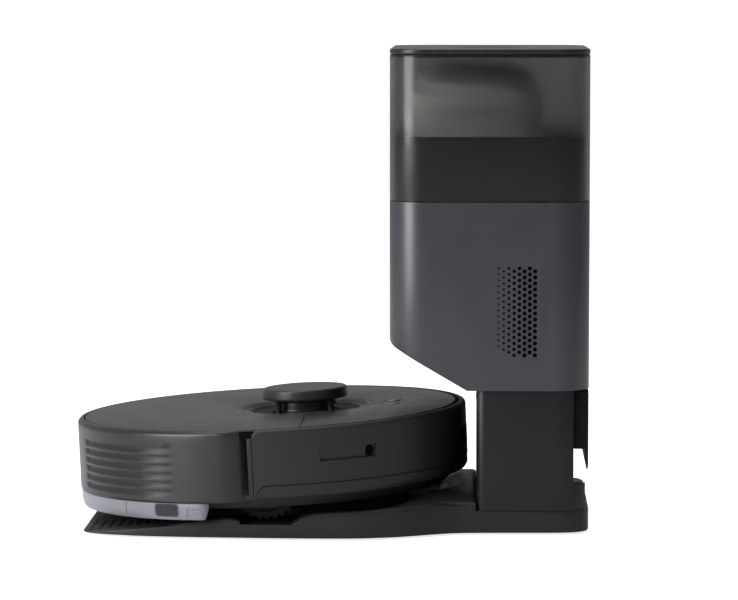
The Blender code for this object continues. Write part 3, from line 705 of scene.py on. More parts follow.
def row_tree():
    """Copies of a shape at even steps along a line."""
    tree = Tree("copies_in_a_row", Shape="Object", Count="Int", Step="Vector", Finish="Material")
    line = tree.node(
        "GeometryNodeMeshLine", {"mode": "OFFSET"}, Count=tree.given.outputs["Count"],
        Offset=tree.given.outputs["Step"]
    )
    shape = tree.node("GeometryNodeObjectInfo", Object=tree.given.outputs["Shape"]).outputs["Geometry"]
    copies = tree.node("GeometryNodeInstanceOnPoints", Points=line.outputs[0], Instance=shape).outputs[0]
    return tree.close(copies)


def ring_tree():
    """Copies of a shape turned evenly about an axis through a centre."""
    tree = Tree(
        "copies_in_a_ring", Shape="Object", Count="Int", Centre="Vector", Axis="Vector", Finish="Material"
    )
    line = tree.node(
        "GeometryNodeMeshLine", {"mode": "OFFSET"}, Count=tree.given.outputs["Count"],
        Offset=(0.0, 0.0, 0.0)
    )
    moved = tree.node(
        "GeometryNodeSetPosition", Geometry=line.outputs[0], Position=tree.given.outputs["Centre"]
    ).outputs[0]
    shape = tree.node("GeometryNodeObjectInfo", Object=tree.given.outputs["Shape"]).outputs["Geometry"]
    share = tree.node(
        "ShaderNodeMath", {"operation": "DIVIDE"}, _0=tree.node("GeometryNodeInputIndex").outputs[0],
        _1=tree.given.outputs["Count"]
    ).outputs[0]
    angle = tree.node("ShaderNodeMath", {"operation": "MULTIPLY"}, _0=share, _1=2 * pi).outputs[0]
    turn = tree.node(
        "FunctionNodeAxisAngleToRotation", Axis=tree.given.outputs["Axis"], Angle=angle
    ).outputs[0]
    copies = tree.node(
        "GeometryNodeInstanceOnPoints", Points=moved, Instance=shape, Rotation=turn
    ).outputs[0]
    return tree.close(copies)


def spots_tree():
    """Copies of a shape on points, each at the size that its point holds."""
    tree = Tree("copies_on_spots", Shape="Object", Finish="Material")
    shape = tree.node("GeometryNodeObjectInfo", Object=tree.given.outputs["Shape"]).outputs["Geometry"]
    size = tree.node(
        "GeometryNodeInputNamedAttribute", {"data_type": "FLOAT"}, Name="size"
    ).outputs["Attribute"]
    copies = tree.node(
        "GeometryNodeInstanceOnPoints", Points=tree.given.outputs["Geometry"], Instance=shape, Scale=size
    ).outputs[0]
    return tree.close(copies)


def perforate_tree():
    """A panel with a hole through it at each point."""
    tree = Tree("perforated_panel", Panel="Object", Punch="Object", Finish="Material")
    punch = tree.node("GeometryNodeObjectInfo", Object=tree.given.outputs["Punch"]).outputs["Geometry"]
    size = tree.node(
        "GeometryNodeInputNamedAttribute", {"data_type": "FLOAT"}, Name="size"
    ).outputs["Attribute"]
    across = tree.node("ShaderNodeCombineXYZ", _0=size, _1=1.0, _2=size).outputs[0]
    punches = tree.node(
        "GeometryNodeInstanceOnPoints", Points=tree.given.outputs["Geometry"], Instance=punch, Scale=across
    ).outputs[0]
    real = tree.node("GeometryNodeRealizeInstances", Geometry=punches).outputs[0]
    panel = tree.node("GeometryNodeObjectInfo", Object=tree.given.outputs["Panel"]).outputs["Geometry"]
    holed = tree.node(
        "GeometryNodeMeshBoolean", {"operation": "DIFFERENCE", "solver": "EXACT"}, Mesh_1=panel, Mesh_2=real
    ).outputs["Mesh"]
    return tree.close(holed)


def points(name, places, sizes=None):
    """Loose points, each with a size."""
    mesh = bpy.data.meshes.new(name)
    mesh.from_pydata([tuple(p) for p in places], [], [])
    size = mesh.attributes.new("size", "FLOAT", "POINT")
    size.data.foreach_set("value", sizes or [1.0] * len(places))
    obj = bpy.data.objects.new(name, mesh)
    bpy.context.scene.collection.objects.link(obj)
    return obj


def copies(tree, name, bm, seeds, material, body, values, more):
    """Runs a tree that repeats a shape, and finishes the piece that comes out."""
    shape = blank("shape", bm)
    obj = TREES[tree].run(name, seeds, Shape=shape, Finish=FINISH[material], **values)
    bpy.data.objects.remove(shape)
    return finish(obj, None, body, **more)


def in_row(name, bm, count, step, material, body, **more):
    """Copies of a shape at even steps."""
    seed = points(name, [(0, 0, 0)])
    return copies("row", name, bm, seed, material, body, {"Count": count, "Step": step}, more)


def in_ring(name, bm, count, centre, axis, material, body, **more):
    """Copies of a shape drawn about the origin, turned round the centre."""
    seed = points(name, [(0, 0, 0)])
    ring = {"Count": count, "Centre": centre, "Axis": axis}
    return copies("ring", name, bm, seed, material, body, ring, more)


def on_spots(name, bm, places, material, body, sizes=None, **more):
    """A copy of a shape on each place."""
    return copies("spots", name, bm, points(name, places, sizes), material, body, {}, more)


def screw_head(axis="Z", radius=0.0026):
    """A cross-head screw, its head facing along the axis, with an open cross."""
    bm = turned(
        [(0.0, -0.0016), (radius, -0.0016), (radius, -0.0003), (radius * 0.85, 0.0), (0.0, 0.0)], steps=14
    )
    obj = blank("head", bm)
    carve(
        obj, block(-radius * 0.6, radius * 0.6, -0.00035, 0.00035, -0.0008, 0.001),
        block(-0.00035, 0.00035, -radius * 0.6, radius * 0.6, -0.0008, 0.001)
    )
    bm = bmesh.new()
    bm.from_mesh(obj.data)
    turn = {
        "Z": Matrix.Identity(3), "-Z": Matrix.Rotation(pi, 3, "X"), "X": Matrix.Rotation(pi / 2, 3, "Y"),
        "-Y": Matrix.Rotation(pi / 2, 3, "X"), "Y": Matrix.Rotation(-pi / 2, 3, "X")
    }[axis]
    bmesh.ops.rotate(bm, verts=bm.verts, cent=(0, 0, 0), matrix=turn)
    bpy.data.objects.remove(obj)
    return bm


def paint(material, *names):
    """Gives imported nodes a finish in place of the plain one."""
    for name in names:
        slots = NODES[name].data.materials
        for i in range(len(slots)):
            slots[i] = FINISH[material]
        if not len(slots):
            slots.append(FINISH[material])


# ------------------------------------------------------------------ stage
CAMERA_LENS = 182.14
CAMERA_ACROSS = 0.1840
CAMERA_AWAY = 3.3316
CAMERA_HEIGHT = 0.4786
CAMERA_DIP = 4.86
CAMERA_TURN = 1.70


class STAGE_OT_studio(bpy.types.Operator):
    """A pale floor, soft studio lamps and the camera"""

    bl_idname = "vacuum.studio"
    bl_label = "Studio stage"

    def execute(self, context):
        floor = blank("studio_floor", prism(rectangle(-30, 30, -30, 30), -0.02, 0.0))
        paper = Shade("studio_paper", (0.86, 0.86, 0.86), 0.9, Specular_IOR_Level=0.1)
        paper.tint(paper.noise(3.0), 0.99, 1.01)
        seen = paper.node("ShaderNodeLightPath").outputs["Is Camera Ray"]
        paper.set(Emission_Color=(1.0, 1.0, 1.0, 1.0), Emission_Strength=Term(paper, seen) * 0.80)
        floor.data.materials.append(paper.material)

        world = bpy.data.worlds.new("studio_air")
        context.scene.world = world
        world.use_nodes = True
        nodes, links = world.node_tree.nodes, world.node_tree.links
        air = nodes["Background"]
        backdrop = nodes.new("ShaderNodeBackground")
        air.inputs[0].default_value = (0.94, 0.96, 1.0, 1.0)
        ahead = nodes.new("ShaderNodeSeparateXYZ")
        fade = nodes.new("ShaderNodeMapRange")
        fade.inputs["From Min"].default_value = -0.8
        fade.inputs["From Max"].default_value = 0.8
        fade.inputs["To Min"].default_value = 0.40
        fade.inputs["To Max"].default_value = 0.31
        links.new(nodes.new("ShaderNodeTexCoord").outputs["Generated"], ahead.inputs[0])
        links.new(ahead.outputs[0], fade.inputs[0])
        links.new(fade.outputs[0], air.inputs[1])
        backdrop.inputs[0].default_value = (1.0, 1.0, 1.0, 1.0)
        backdrop.inputs[1].default_value = 1.05
        chooser = nodes.new("ShaderNodeMixShader")
        rays = nodes.new("ShaderNodeLightPath")
        links.new(rays.outputs["Is Camera Ray"], chooser.inputs[0])
        links.new(air.outputs[0], chooser.inputs[1])
        links.new(backdrop.outputs[0], chooser.inputs[2])
        links.new(chooser.outputs[0], nodes["World Output"].inputs[0])

        lamps = (
            ("key_lamp", (-1.9, -2.2, 2.3), 1.5, 1.5, 34.0),
            ("top_lamp", (-0.4, 0.2, 2.8), 1.8, 1.8, 30.0),
            ("strip_lamp", (-2.30, -1.55, 0.80), 1.50, 1.6, 66.0),
        )
        for name, place, size, height, power in lamps:
            data = bpy.data.lights.new(name, "AREA")
            data.shape = "RECTANGLE"
            data.size = size
            data.size_y = height
            data.energy = power
            lamp_object = bpy.data.objects.new(name, data)
            lamp_object.location = place
            aim = Vector((0.0, 0.0, 0.15)) - Vector(place)
            lamp_object.rotation_euler = aim.to_track_quat("-Z", "Y").to_euler()
            context.scene.collection.objects.link(lamp_object)

        data = bpy.data.cameras.new("studio_camera")
        data.sensor_width = 36.0
        data.lens = CAMERA_LENS
        camera = bpy.data.objects.new("studio_camera", data)
        camera.location = (ROBOT_ORIGIN.x + CAMERA_ACROSS, -CAMERA_AWAY, CAMERA_HEIGHT)
        camera.rotation_euler = (radians(90.0 - CAMERA_DIP), 0.0, radians(CAMERA_TURN))
        context.scene.collection.objects.link(camera)
        context.scene.camera = camera
        context.scene.view_settings.view_transform = "Standard"
        return {"FINISHED"}


# ------------------------------------------------------------------ dock
BASE_NEAR = [
    (-0.161, 0.108), (-0.158, 0.121), (-0.144, 0.131), (-0.126, 0.137), (-0.109, 0.142),
    (-0.074, 0.147), (-0.021, 0.151), (0.030, 0.1535), (0.065, 0.1535), (0.082, 0.152),
    (0.099, 0.148), (0.116, 0.1425), (0.133, 0.1335), (0.150, 0.1245), (0.168, 0.118),
    (0.202, 0.1155), (0.254, 0.1135), (0.270, 0.108), (0.277, 0.100), (0.2795, 0.088),
]
# Height of the raised edge above the base's top, on each side of the open wheel lane.
RIM_FRONT = [
    (-0.092, 0.0), (-0.078, 0.0018), (-0.063, 0.0030), (-0.048, 0.0035), (-0.034, 0.0032), (-0.026, 0.0016),
    (-0.022, 0.0)
]
RIM_REAR = [
    (0.030, 0.0), (0.040, 0.0032), (0.060, 0.0036), (0.087, 0.0034), (0.112, 0.0044), (0.135, 0.0048),
    (0.150, 0.0030), (0.166, 0.0004), (0.176, 0.0)
]
# Across the raised edge: distance in from the base's outline, drop below the top, share of the rise.
RIM_SECTION = [
    (0.0006, 0.0030, 0.0), (0.0006, 0.0010, 0.55), (0.0018, 0.0006, 0.9), (0.0036, 0.0003, 1.0),
    (0.0080, 0.0003, 0.86), (0.0150, 0.0008, 0.15), (0.0170, 0.0030, 0.0)
]
BASE_FLOOR = 0.0022
COLUMN_SEAM = 0.0262
RAMP_START = -0.161
RAMP_END = -0.020
RAMP_TIP = 0.003
RAMP_SLOPE = 0.0148 / 0.141


def base_edge(x):
    """Half the width of the base at x."""
    for (x0, y0), (x1, y1) in zip(BASE_NEAR, BASE_NEAR[1:]):
        if x0 <= x <= x1:
            return y0 + (y1 - y0) * (x - x0) / (x1 - x0)


def duct_hole(low, high, steps=32):
    """The bore of the dust duct, which runs up through the dock."""
    return disc(0.0172, low, high, 0.0001, (0.230, 0.0, 0.0), steps=steps)


def slope_top(x):
    """Height of the base's top: the ramp, then a floor that carries the tipped robot."""
    if x < RAMP_END:
        return RAMP_TIP + (x - RAMP_START) * RAMP_SLOPE
    return 0.0178 + (x - RAMP_END) * 0.0461


class DOCK_OT_base(bpy.types.Operator):
    """The base plate with its ramp, wheel lanes, ribs and raised shoulders"""

    bl_idname = "vacuum.dock_base"
    bl_label = "Dock base"

    def execute(self, context):
        near = smoothed([(x, -y) for x, y in BASE_NEAR], 3, False)
        plan = near + [(x, -y) for x, y in reversed(near)]
        base = blank("dock_base_shell", prism(plan, BASE_FLOOR, 0.060))
        above = [
            (-0.30, 0.0030), (-0.161, 0.0030), (-0.020, slope_top(-0.020)), (0.150, slope_top(0.150)),
            (0.1790, COLUMN_SEAM), (0.1810, 0.0215), (0.40, 0.0215), (0.40, 0.09), (-0.30, 0.09)
        ]
        carve(base, prism(above, -0.3, 0.3, "Y"))
        soften(base, 0.0016, 3, radians(40))
        for side in (-1, 1):
            lane = fillet(
                [
                    (-0.0600, 0.0137), (0.0240, 0.0137, 0.006), (0.0345, 0.0212, 0.003), (0.045, 0.07),
                    (-0.0600, 0.07)
                ],
                steps=4
            )
            carve(base, slab(lane, side, 0.0900, 0.1300))
            mouth = [
                (-0.0215, 0.0138), (0.0225, 0.0138), (0.0460, 0.0290), (0.0460, 0.07), (-0.0300, 0.07),
                (-0.0300, 0.0215)
            ]
            carve(base, slab(mouth, side, 0.1200, 0.1650))
            carve(base, block(0.1292, 0.1528, side * 0.036 - 0.0058, side * 0.036 + 0.0058, 0.0168, 0.06))
        carve(base, prism(rectangle(0.045, 0.085, -0.060, 0.060, 0.008), 0.0088, 0.06))
        carve(
            base, prism(rectangle(0.0465, 0.272, -0.040, 0.040, 0.004, 3), -0.01, 0.0149),
            prism(rectangle(-0.085, 0.040, -0.080, 0.080, 0.006, 3), -0.01, 0.0075),
            duct_hole(0.0, 0.05, 40)
        )
        finish(base, "base", "dock", ["dock_base"], "dock_charcoal")

        pitch = context.scene.dock_sizes.rib_pitch
        first = -0.1545
        count = int((-0.062 - first) / pitch) + 1
        rib = [(-0.0016, -0.0010), (0.0016, -0.0010), (0.0009, 0.0008), (-0.0009, 0.0008)]
        ribs = merged(prism(rib, -0.1185, -0.0640, "Y"), prism(rib, 0.0640, 0.1185, "Y"))
        bmesh.ops.translate(ribs, verts=ribs.verts, vec=(first, 0.0, slope_top(first)))
        in_row(
            "ramp_ribs", ribs, count, (pitch, 0.0, pitch * RAMP_SLOPE), "base", "dock", slot="dock_charcoal"
        )

        for word, side in SIDES:
            for part, heights in (("front", RIM_FRONT), ("rear", RIM_REAR)):
                rings = []
                for x, rise in smoothed(heights, 5, False):
                    edge = base_edge(x)
                    top = min(slope_top(x), COLUMN_SEAM)
                    rise = max(rise, 0.0)
                    section = [(inset, top - below + rise * share) for inset, below, share in RIM_SECTION]
                    rings.append([(x, side * (edge - inset), z) for inset, z in section])
                bm = bmesh.new()
                bridge(bm, rings)
                make(
                    "base_rim_" + part + "_" + word, bm, "base", "dock", slot="dock_charcoal",
                    sharp=radians(45)
                )

        rings = []
        for i in range(49):
            y = -0.1160 + 0.2320 * i / 48
            front = sqrt(0.158 ** 2 - y ** 2)
            brush_room = 0.0075 * min(1.0, max(0.0, (y - 0.045) / 0.020))
            height = 0.0355 - max(brush_room, 0.0060 * max(0.0, (abs(y) - 0.085) / 0.031) ** 2)
            low = slope_top(front)
            section = [
                (front, low - 0.0030), (front, low), (front + 0.0020, low + 0.0020),
                (front + 0.0090, height - 0.0025), (front + 0.0150, height), (0.1780, height),
                (0.1800, height - 0.0004), (0.1812, height - 0.0018), (0.1812, 0.0190)
            ]
            rings.append([(x, y, z) for x, z in section])
        bm = bmesh.new()
        bridge(bm, rings)
        make("base_nose", bm, "base", "dock", slot="dock_charcoal", sharp=radians(45))

        feet = (
            "dock_foot_front_right", "dock_foot_front_left", "dock_foot_rear_right", "dock_foot_rear_left"
        )
        paint("rubber", "suction_port_seal", *feet)
        paint("inner", "base_duct")
        paint("contact", "charge_contact_right", "charge_contact_left")
        places = [(x, y, 0.0019) for x in (-0.110, 0.055, 0.150) for y in (-0.100, 0.100)]
        on_spots("base_screws", screw_head("-Z", 0.0032), places, "steel", "dock")
        return {"FINISHED"}


class DOCK_OT_column(bpy.types.Operator):
    """The dark column with its sensor window, cord recess and hook"""

    bl_idname = "vacuum.dock_column"
    bl_label = "Dock column"

    def execute(self, context):
        plan = [
            (0.1814, -0.1165, 0.0080), (0.2796, -0.1165, 0.0300), (0.2796, 0.1165, 0.0300),
            (0.1814, 0.1165, 0.0080)
        ]
        column = blank("column_shell", prism(fillet(plan, steps=10), 0.0218, 0.1262))
        carve(
            column, block(0.2660, 0.2900, -0.1250, 0.1250, 0.0450, 0.1300),
            block(0.2660, 0.2900, -0.1000, 0.1250, 0.0100, 0.0460)
        )
        soften(column, 0.0009, 3, radians(40))
        carve(column, prism(rectangle(0.1844, 0.2620, -0.1135, 0.1135, 0.027, 10), 0.0, 0.1230))
        carve(column, block(0.2500, 0.2700, 0.0117, 0.0403, 0.0697, 0.0903), duct_hole(0.10, 0.15))
        carve(column, prism(rectangle(-0.0300, 0.0300, 0.0640, 0.1000, 0.0042, 5), 0.175, 0.1900, "X"))
        finish(column, "column", "dock", ["dock_column"], "dark_moulding")
        make(
            "sensor_window",
            prism(rectangle(-0.0297, 0.0297, 0.0643, 0.0997, 0.004, 5), 0.1815, 0.1838, "X"), "lens",
            "dock", ["ir_window"], "smoked_clear", edge=0.0004
        )
        eyes = [(0.1842, y, 0.082) for y in (-0.018, 0.0, 0.018)]
        bead = turned(
            [(0.0, 0.0), (0.0030, 0.0), (0.0026, 0.0016), (0.0014, 0.0026), (0.0, 0.0029)], axis="X",
            steps=20
        )
        on_spots("sensor_eyes", bead, eyes, "steel", "dock")
        hook = fillet(
            [
                (0.2772, 0.1236), (0.2772, 0.0600, 0.001), (0.2778, 0.0545, 0.0006),
                (0.2792, 0.0545, 0.0006), (0.2796, 0.0600), (0.2796, 0.1236)
            ],
            steps=3
        )
        make(
            "cord_hook", prism(hook, -0.085, 0.085, "Y"), "rim", "dock", ["cable_hook"], "dark_moulding",
            edge=0.0006
        )
        blocks = merged(
            block(0.2663, 0.2776, -0.085, -0.063, 0.0720, 0.1236),
            block(0.2663, 0.2776, 0.063, 0.085, 0.0720, 0.1236)
        )
        make("cord_hook_blocks", blocks, "inner", "dock", slot="dark_moulding", edge=0.0015)
        make(
            "service_light",
            prism(rectangle(-0.0100, 0.0100, 0.1085, 0.1110, 0.0012, 4), 0.1809, 0.1818, "X"), "light",
            "dock", edge=0.0002
        )
        paint("inner", "power_inlet", "duct_riser")
        paint("board", "dock_circuit_board")
        pins = blank(
            "inlet_pins",
            merged(
                block(0.2565, 0.2640, 0.0195, 0.0225, 0.0785, 0.0815),
                block(0.2565, 0.2640, 0.0295, 0.0325, 0.0785, 0.0815)
            )
        )
        finish(pins, "contact", "dock")
        chips = [
            (0.2368, y, z) for y, z in ((-0.085, 0.055), (-0.060, 0.090), (-0.045, 0.060), (-0.078, 0.082))
        ]
        on_spots(
            "dock_board_chips", block(-0.0012, 0.0012, -0.006, 0.006, -0.006, 0.006), chips, "inner", "dock"
        )
        return {"FINISHED"}


VENT_OUTLINE = [(0.1968, 0.2359), (0.1968, 0.1668), (0.2068, 0.1550), (0.2356, 0.1521), (0.2356, 0.2359)]


class DOCK_OT_housing(bpy.types.Operator):
    """The slate housing with its slanted chin and perforated side vents"""

    bl_idname = "vacuum.dock_housing"
    bl_label = "Dock housing"

    def execute(self, context):
        sizes = context.scene.dock_sizes
        outer = rectangle(TOWER_X0, TOWER_X1, -TOWER_HALF, TOWER_HALF, TOWER_CORNER, 14)
        inner = rectangle(
            TOWER_X0 + 0.003, TOWER_X1 - 0.003, -TOWER_HALF + 0.003, TOWER_HALF - 0.003,
            TOWER_CORNER - 0.003, 10
        )
        housing = blank("housing_shell", prism(outer, 0.1265, 0.2897))
        front = TOWER_X0 - 0.0001
        chin = [(front, 0.2000), (front, 0.1660, 0.010), (0.1777, 0.1240, 0.004), (0.1777, 0.08)]
        rounded_chin = [(0.05, 0.36)] + fillet(chin, False, 5) + [(0.05, 0.08)]
        carve(housing, prism(rounded_chin, -0.2, 0.2, "Y"))
        soften(housing, 0.0011, 3, radians(38))
        room = blank("room", prism(inner, 0.1295, 0.40))
        carve(
            room,
            prism(
                [
                    (0.05, 0.30), (TOWER_X0 + 0.003, 0.1705), (0.1125, 0.1655), (0.1785, 0.1295),
                    (0.1785, 0.08), (0.05, 0.08)
                ],
                -0.2, 0.2, "Y"
            )
        )
        hollow = bmesh.new()
        hollow.from_mesh(room.data)
        bpy.data.objects.remove(room)
        carve(housing, hollow, duct_hole(0.10, 0.15))
        for side in (-1, 1):
            carve(housing, slab(VENT_OUTLINE, side, 0.1120, 0.1300))
        finish(housing, "housing", "dock", ["dock_housing"], "housing_slate")

        holes, widths = [], []
        for column in range(sizes.vent_columns):
            x = 0.2005 + column * sizes.vent_pitch
            radius = 0.0009 + 0.0010 * min(1.0, column / 5.0)
            lowest = 0.1565 + max(0.0, 0.2120 - x) * 0.55
            for row in range(40):
                z = 0.2330 - (row + 0.5 * (column % 2)) * sizes.vent_row_pitch
                if z < lowest:
                    break
                holes.append((x, z))
                widths.append(radius / 0.001)
        for word, side in SIDES:
            panel = blank("panel", slab(VENT_OUTLINE, side, 0.1167, 0.1190))
            punch = blank(
                "punch",
                turned([(0.0, -0.004), (0.001, -0.004), (0.001, 0.004), (0.0, 0.004)], axis="Y", steps=14)
            )
            seeds = points("seeds", [(x, side * 0.118, z) for x, z in holes], widths)
            vent = TREES["perforate"].run(
                "vent_panel_" + word, seeds, Panel=panel, Punch=punch, Finish=FINISH["housing"]
            )
            bpy.data.objects.remove(panel)
            bpy.data.objects.remove(punch)
            finish(vent, None, "dock", ["vent_grille_" + word], "housing_slate")
            # A dark sheet behind each vent: painted shade that stands in for the dark cavity seen through
            # the holes
            shade_backing = slab(
                [(0.194, 0.239), (0.194, 0.150), (0.239, 0.150), (0.239, 0.239)], side, 0.1080, 0.1100
            )
            make("vent_baffle_" + word, shade_backing, "inner", "dock")
        paint("steel", "blower_motor")
        paint("inner", "blower_impeller")
        paint("filter", "exhaust_filter")
        fin = block(0.0452, 0.0490, -0.0005, 0.0005, -0.018, 0.018)
        in_ring("motor_fins", fin, 36, (0.163, 0.0, 0.200), (0, 0, 1), "steel", "dock")
        return {"FINISHED"}


class DOCK_OT_bag(bpy.types.Operator):
    """The smoked cover and its lid over the tray and the paper dust bag"""

    bl_idname = "vacuum.dock_bag"
    bl_label = "Bag bay"

    def execute(self, context):
        def shrunk(inset, low, high, steps=12):
            return prism(
                rectangle(
                    TOWER_X0 + inset, TOWER_X1 - inset, -TOWER_HALF + inset, TOWER_HALF - inset,
                    TOWER_CORNER - inset, steps
                ),
                low, high
            )

        tray = blank("bag_tub", shrunk(0.0040, 0.2902, 0.3460))
        carve(tray, shrunk(0.0065, 0.2930, 0.40), duct_hole(0.28, 0.31))
        soften(tray, 0.0006, 2, radians(50))
        finish(tray, "inner", "dock", ["bag_tray"], "dark_moulding")

        cover = blank("smoked_shell", shrunk(0.0, 0.2902, 0.4166))
        soften(cover, 0.0008, 3, radians(50))
        carve(cover, shrunk(0.0025, 0.20, 0.4141))
        finish(cover, "smoke", "cover", ["dock_cover"], "smoked_clear")

        lid = blank("cover_top", shrunk(0.0, 0.4169, 0.4215))
        soften(lid, 0.0012, 4, radians(50))
        carve(lid, prism(rectangle(0.1600, 0.2250, -0.0130, 0.0130, 0.0125, 8), 0.4200, 0.43))
        finish(lid, "rim", "cover", ["cover_lid"], "dark_moulding")
        make(
            "cover_grip", prism(rectangle(0.1640, 0.2210, -0.0095, 0.0095, 0.0090, 8), 0.4198, 0.4207),
            "plate", "cover", edge=0.0003
        )

        bag = bmesh.new()
        bmesh.ops.create_icosphere(bag, subdivisions=6, radius=1.0)
        for v in bag.verts:
            c = v.co.copy()
            p = Vector([copysign(abs(t) ** 0.60, t) for t in c])
            fold = 0.030 * sin(9.0 * c.y + 3.0 * c.z) * (1 - abs(c.x)) + 0.022 * sin(
                17.0 * c.z + 5.0 * c.x + 2.0 * c.y
            )
            gusset = -0.10 * exp(-((c.z / 0.16) ** 2)) * abs(c.y) ** 3
            sag = 0.05 * c.x * max(0.0, -c.z)
            v.co = (
                0.1800 + 0.0600 * (p.x * (1 + fold + sag)), 0.0940 * p.y * (1 + fold * 0.4 + gusset),
                0.3535 + 0.0490 * p.z * (1 + fold * 0.35)
            )
        dust_bag = make("paper_dust_bag", bag, "paper", "bag", ["dust_bag"], "bag_paper", radians(60))
        collar = blank(
            "bag_card", prism(rectangle(0.2020, 0.2580, -0.0450, 0.0450, 0.006, 6), 0.2990, 0.3018)
        )
        carve(collar, disc(0.0150, 0.28, 0.31, 0.0001, (0.230, 0.0, 0.0), steps=40))
        soften(collar, 0.0004, 2, radians(50))
        finish(collar, "card", "bag", ["bag_collar"], "collar_card")
        gasket = turned(
            [(0.0152, 0.3019), (0.0200, 0.3019), (0.0200, 0.3028), (0.0152, 0.3028)], (0.230, 0.0, 0.0),
            steps=40
        )
        make("bag_gasket", gasket, "rubber", "bag")
        return {"FINISHED"}


# ------------------------------------------------------------------ robot
def edge_angle(x, radius):
    """Angle on the near side at which a circle about the robot's centre reaches x."""
    return -acos(x / radius)


def both_sides(profile, radius, x0, x1, steps):
    """A profile carried round the robot from x0 to x1, on its near side and its far side."""
    first, last = edge_angle(x0, radius), edge_angle(x1, radius)
    near = swept(profile, arc_path(radius, first, last, steps))
    return merged(near, swept(profile, arc_path(radius, -last, -first, steps)))


def around(bm, angle, centre=(0.0, 0.0, 0.0)):
    bmesh.ops.rotate(bm, verts=bm.verts, cent=centre, matrix=Matrix.Rotation(angle, 3, "Z"))
    return bm


def round_plan(radius, x_low=-1.0, x_high=1.0, steps=160, corner=0.003):
    """A disc's outline, cut square at one or both ends."""
    if x_high < radius:
        first = acos(x_high / radius)
        arc = [
            (radius * cos(a), radius * sin(a))
            for a in (first + (2 * pi - 2 * first) * i / steps for i in range(steps + 1))
        ]
    elif x_low > -radius:
        first = -acos(x_low / radius)
        arc = [
            (radius * cos(a), radius * sin(a))
            for a in (first - 2 * first * i / steps for i in range(steps + 1))
        ]
    else:
        return [(radius * cos(2 * pi * i / steps), radius * sin(2 * pi * i / steps)) for i in range(steps)]
    return fillet([(*arc[0], corner)] + arc[1:-1] + [(*arc[-1], corner)], steps=5) if corner else arc


class ROBOT_OT_shell(bpy.types.Operator):
    """The rear shell: a tall wall with louvre grooves and rolled-in ends"""

    bl_idname = "vacuum.rear_shell"
    bl_label = "Rear shell"

    def execute(self, context):
        sizes = context.scene.robot_sizes
        radius = sizes.shell_radius
        first = acos(-0.0380 / radius)
        steps = 236
        path = turned_in(arc_path(radius, first, 2 * pi - first, steps), 0.0300, radians(60), 14)
        corner = 0.0060
        rows = sizes.louvres
        lowest = 0.0252

        def wall(i, count):
            turn = abs(i / (count - 1) - 0.5) * 2 * (pi - first) / pi * 180 * 1.038
            share = max(0.0, min(1.0, (turn - 19.0) / 2.5, (60.0 - turn) / 16.0))
            depth = 0.0021 * share * share * (3 - 2 * share)
            run = min(i, count - 1 - i) / (count - 1) * 2 * (pi - first) * radius * 1.09
            drop = corner - sqrt(max(0.0, corner ** 2 - (corner - run) ** 2)) if run < corner else 0.0
            side = [(-0.0010, 0.0170), (0.0, 0.0182)]
            for k in range(rows):
                z = lowest + k * sizes.louvre_pitch
                side += [
                    (0.0, z - 0.0030), (-depth * 0.55, z - 0.0012), (-depth, z + 0.0010),
                    (-depth, z + 0.0021), (-0.0002 * min(1.0, depth * 900), z + 0.0024)
                ]
            top = fillet([(0.0, 0.0700), (0.0, 0.0792, 0.0046), (-0.0053, 0.0792)], False, 8)
            ring = side + top + [(-0.0053, 0.0762), (-0.0040, 0.0750), (-0.0040, 0.0175)]
            return [(d, z if z < 0.062 else z - drop * (z - 0.062) / 0.0172) for d, z in ring]

        make("rear_shell_wall", swept(wall, path), "shell", "robot", ["rear_shell"], "shell_charcoal")

        post = [(-0.0230, 0.0190), (-0.0210, 0.0190), (-0.0210, 0.0768), (-0.0230, 0.0768)]
        recess = both_sides(post, radius, -0.034, 0.008, 14)
        make("shell_gap_posts", recess, "inner", "robot", slot="dark_moulding")
        # Thin near-black strips laid over the deck's edge in the gap between shell and bumper: painted
        # shade where the gap lies in shadow
        deck_edge = 0.1670
        strip = [(-0.0006, 0.0690), (0.0, 0.0690), (0.0, 0.0768), (-0.0006, 0.0768)]
        gap_shade = both_sides(strip, deck_edge, -0.0192, 0.0020, 8)
        make("shell_gap_blinds", gap_shade, "pit", "robot", slot="dark_moulding")
        return {"FINISHED"}


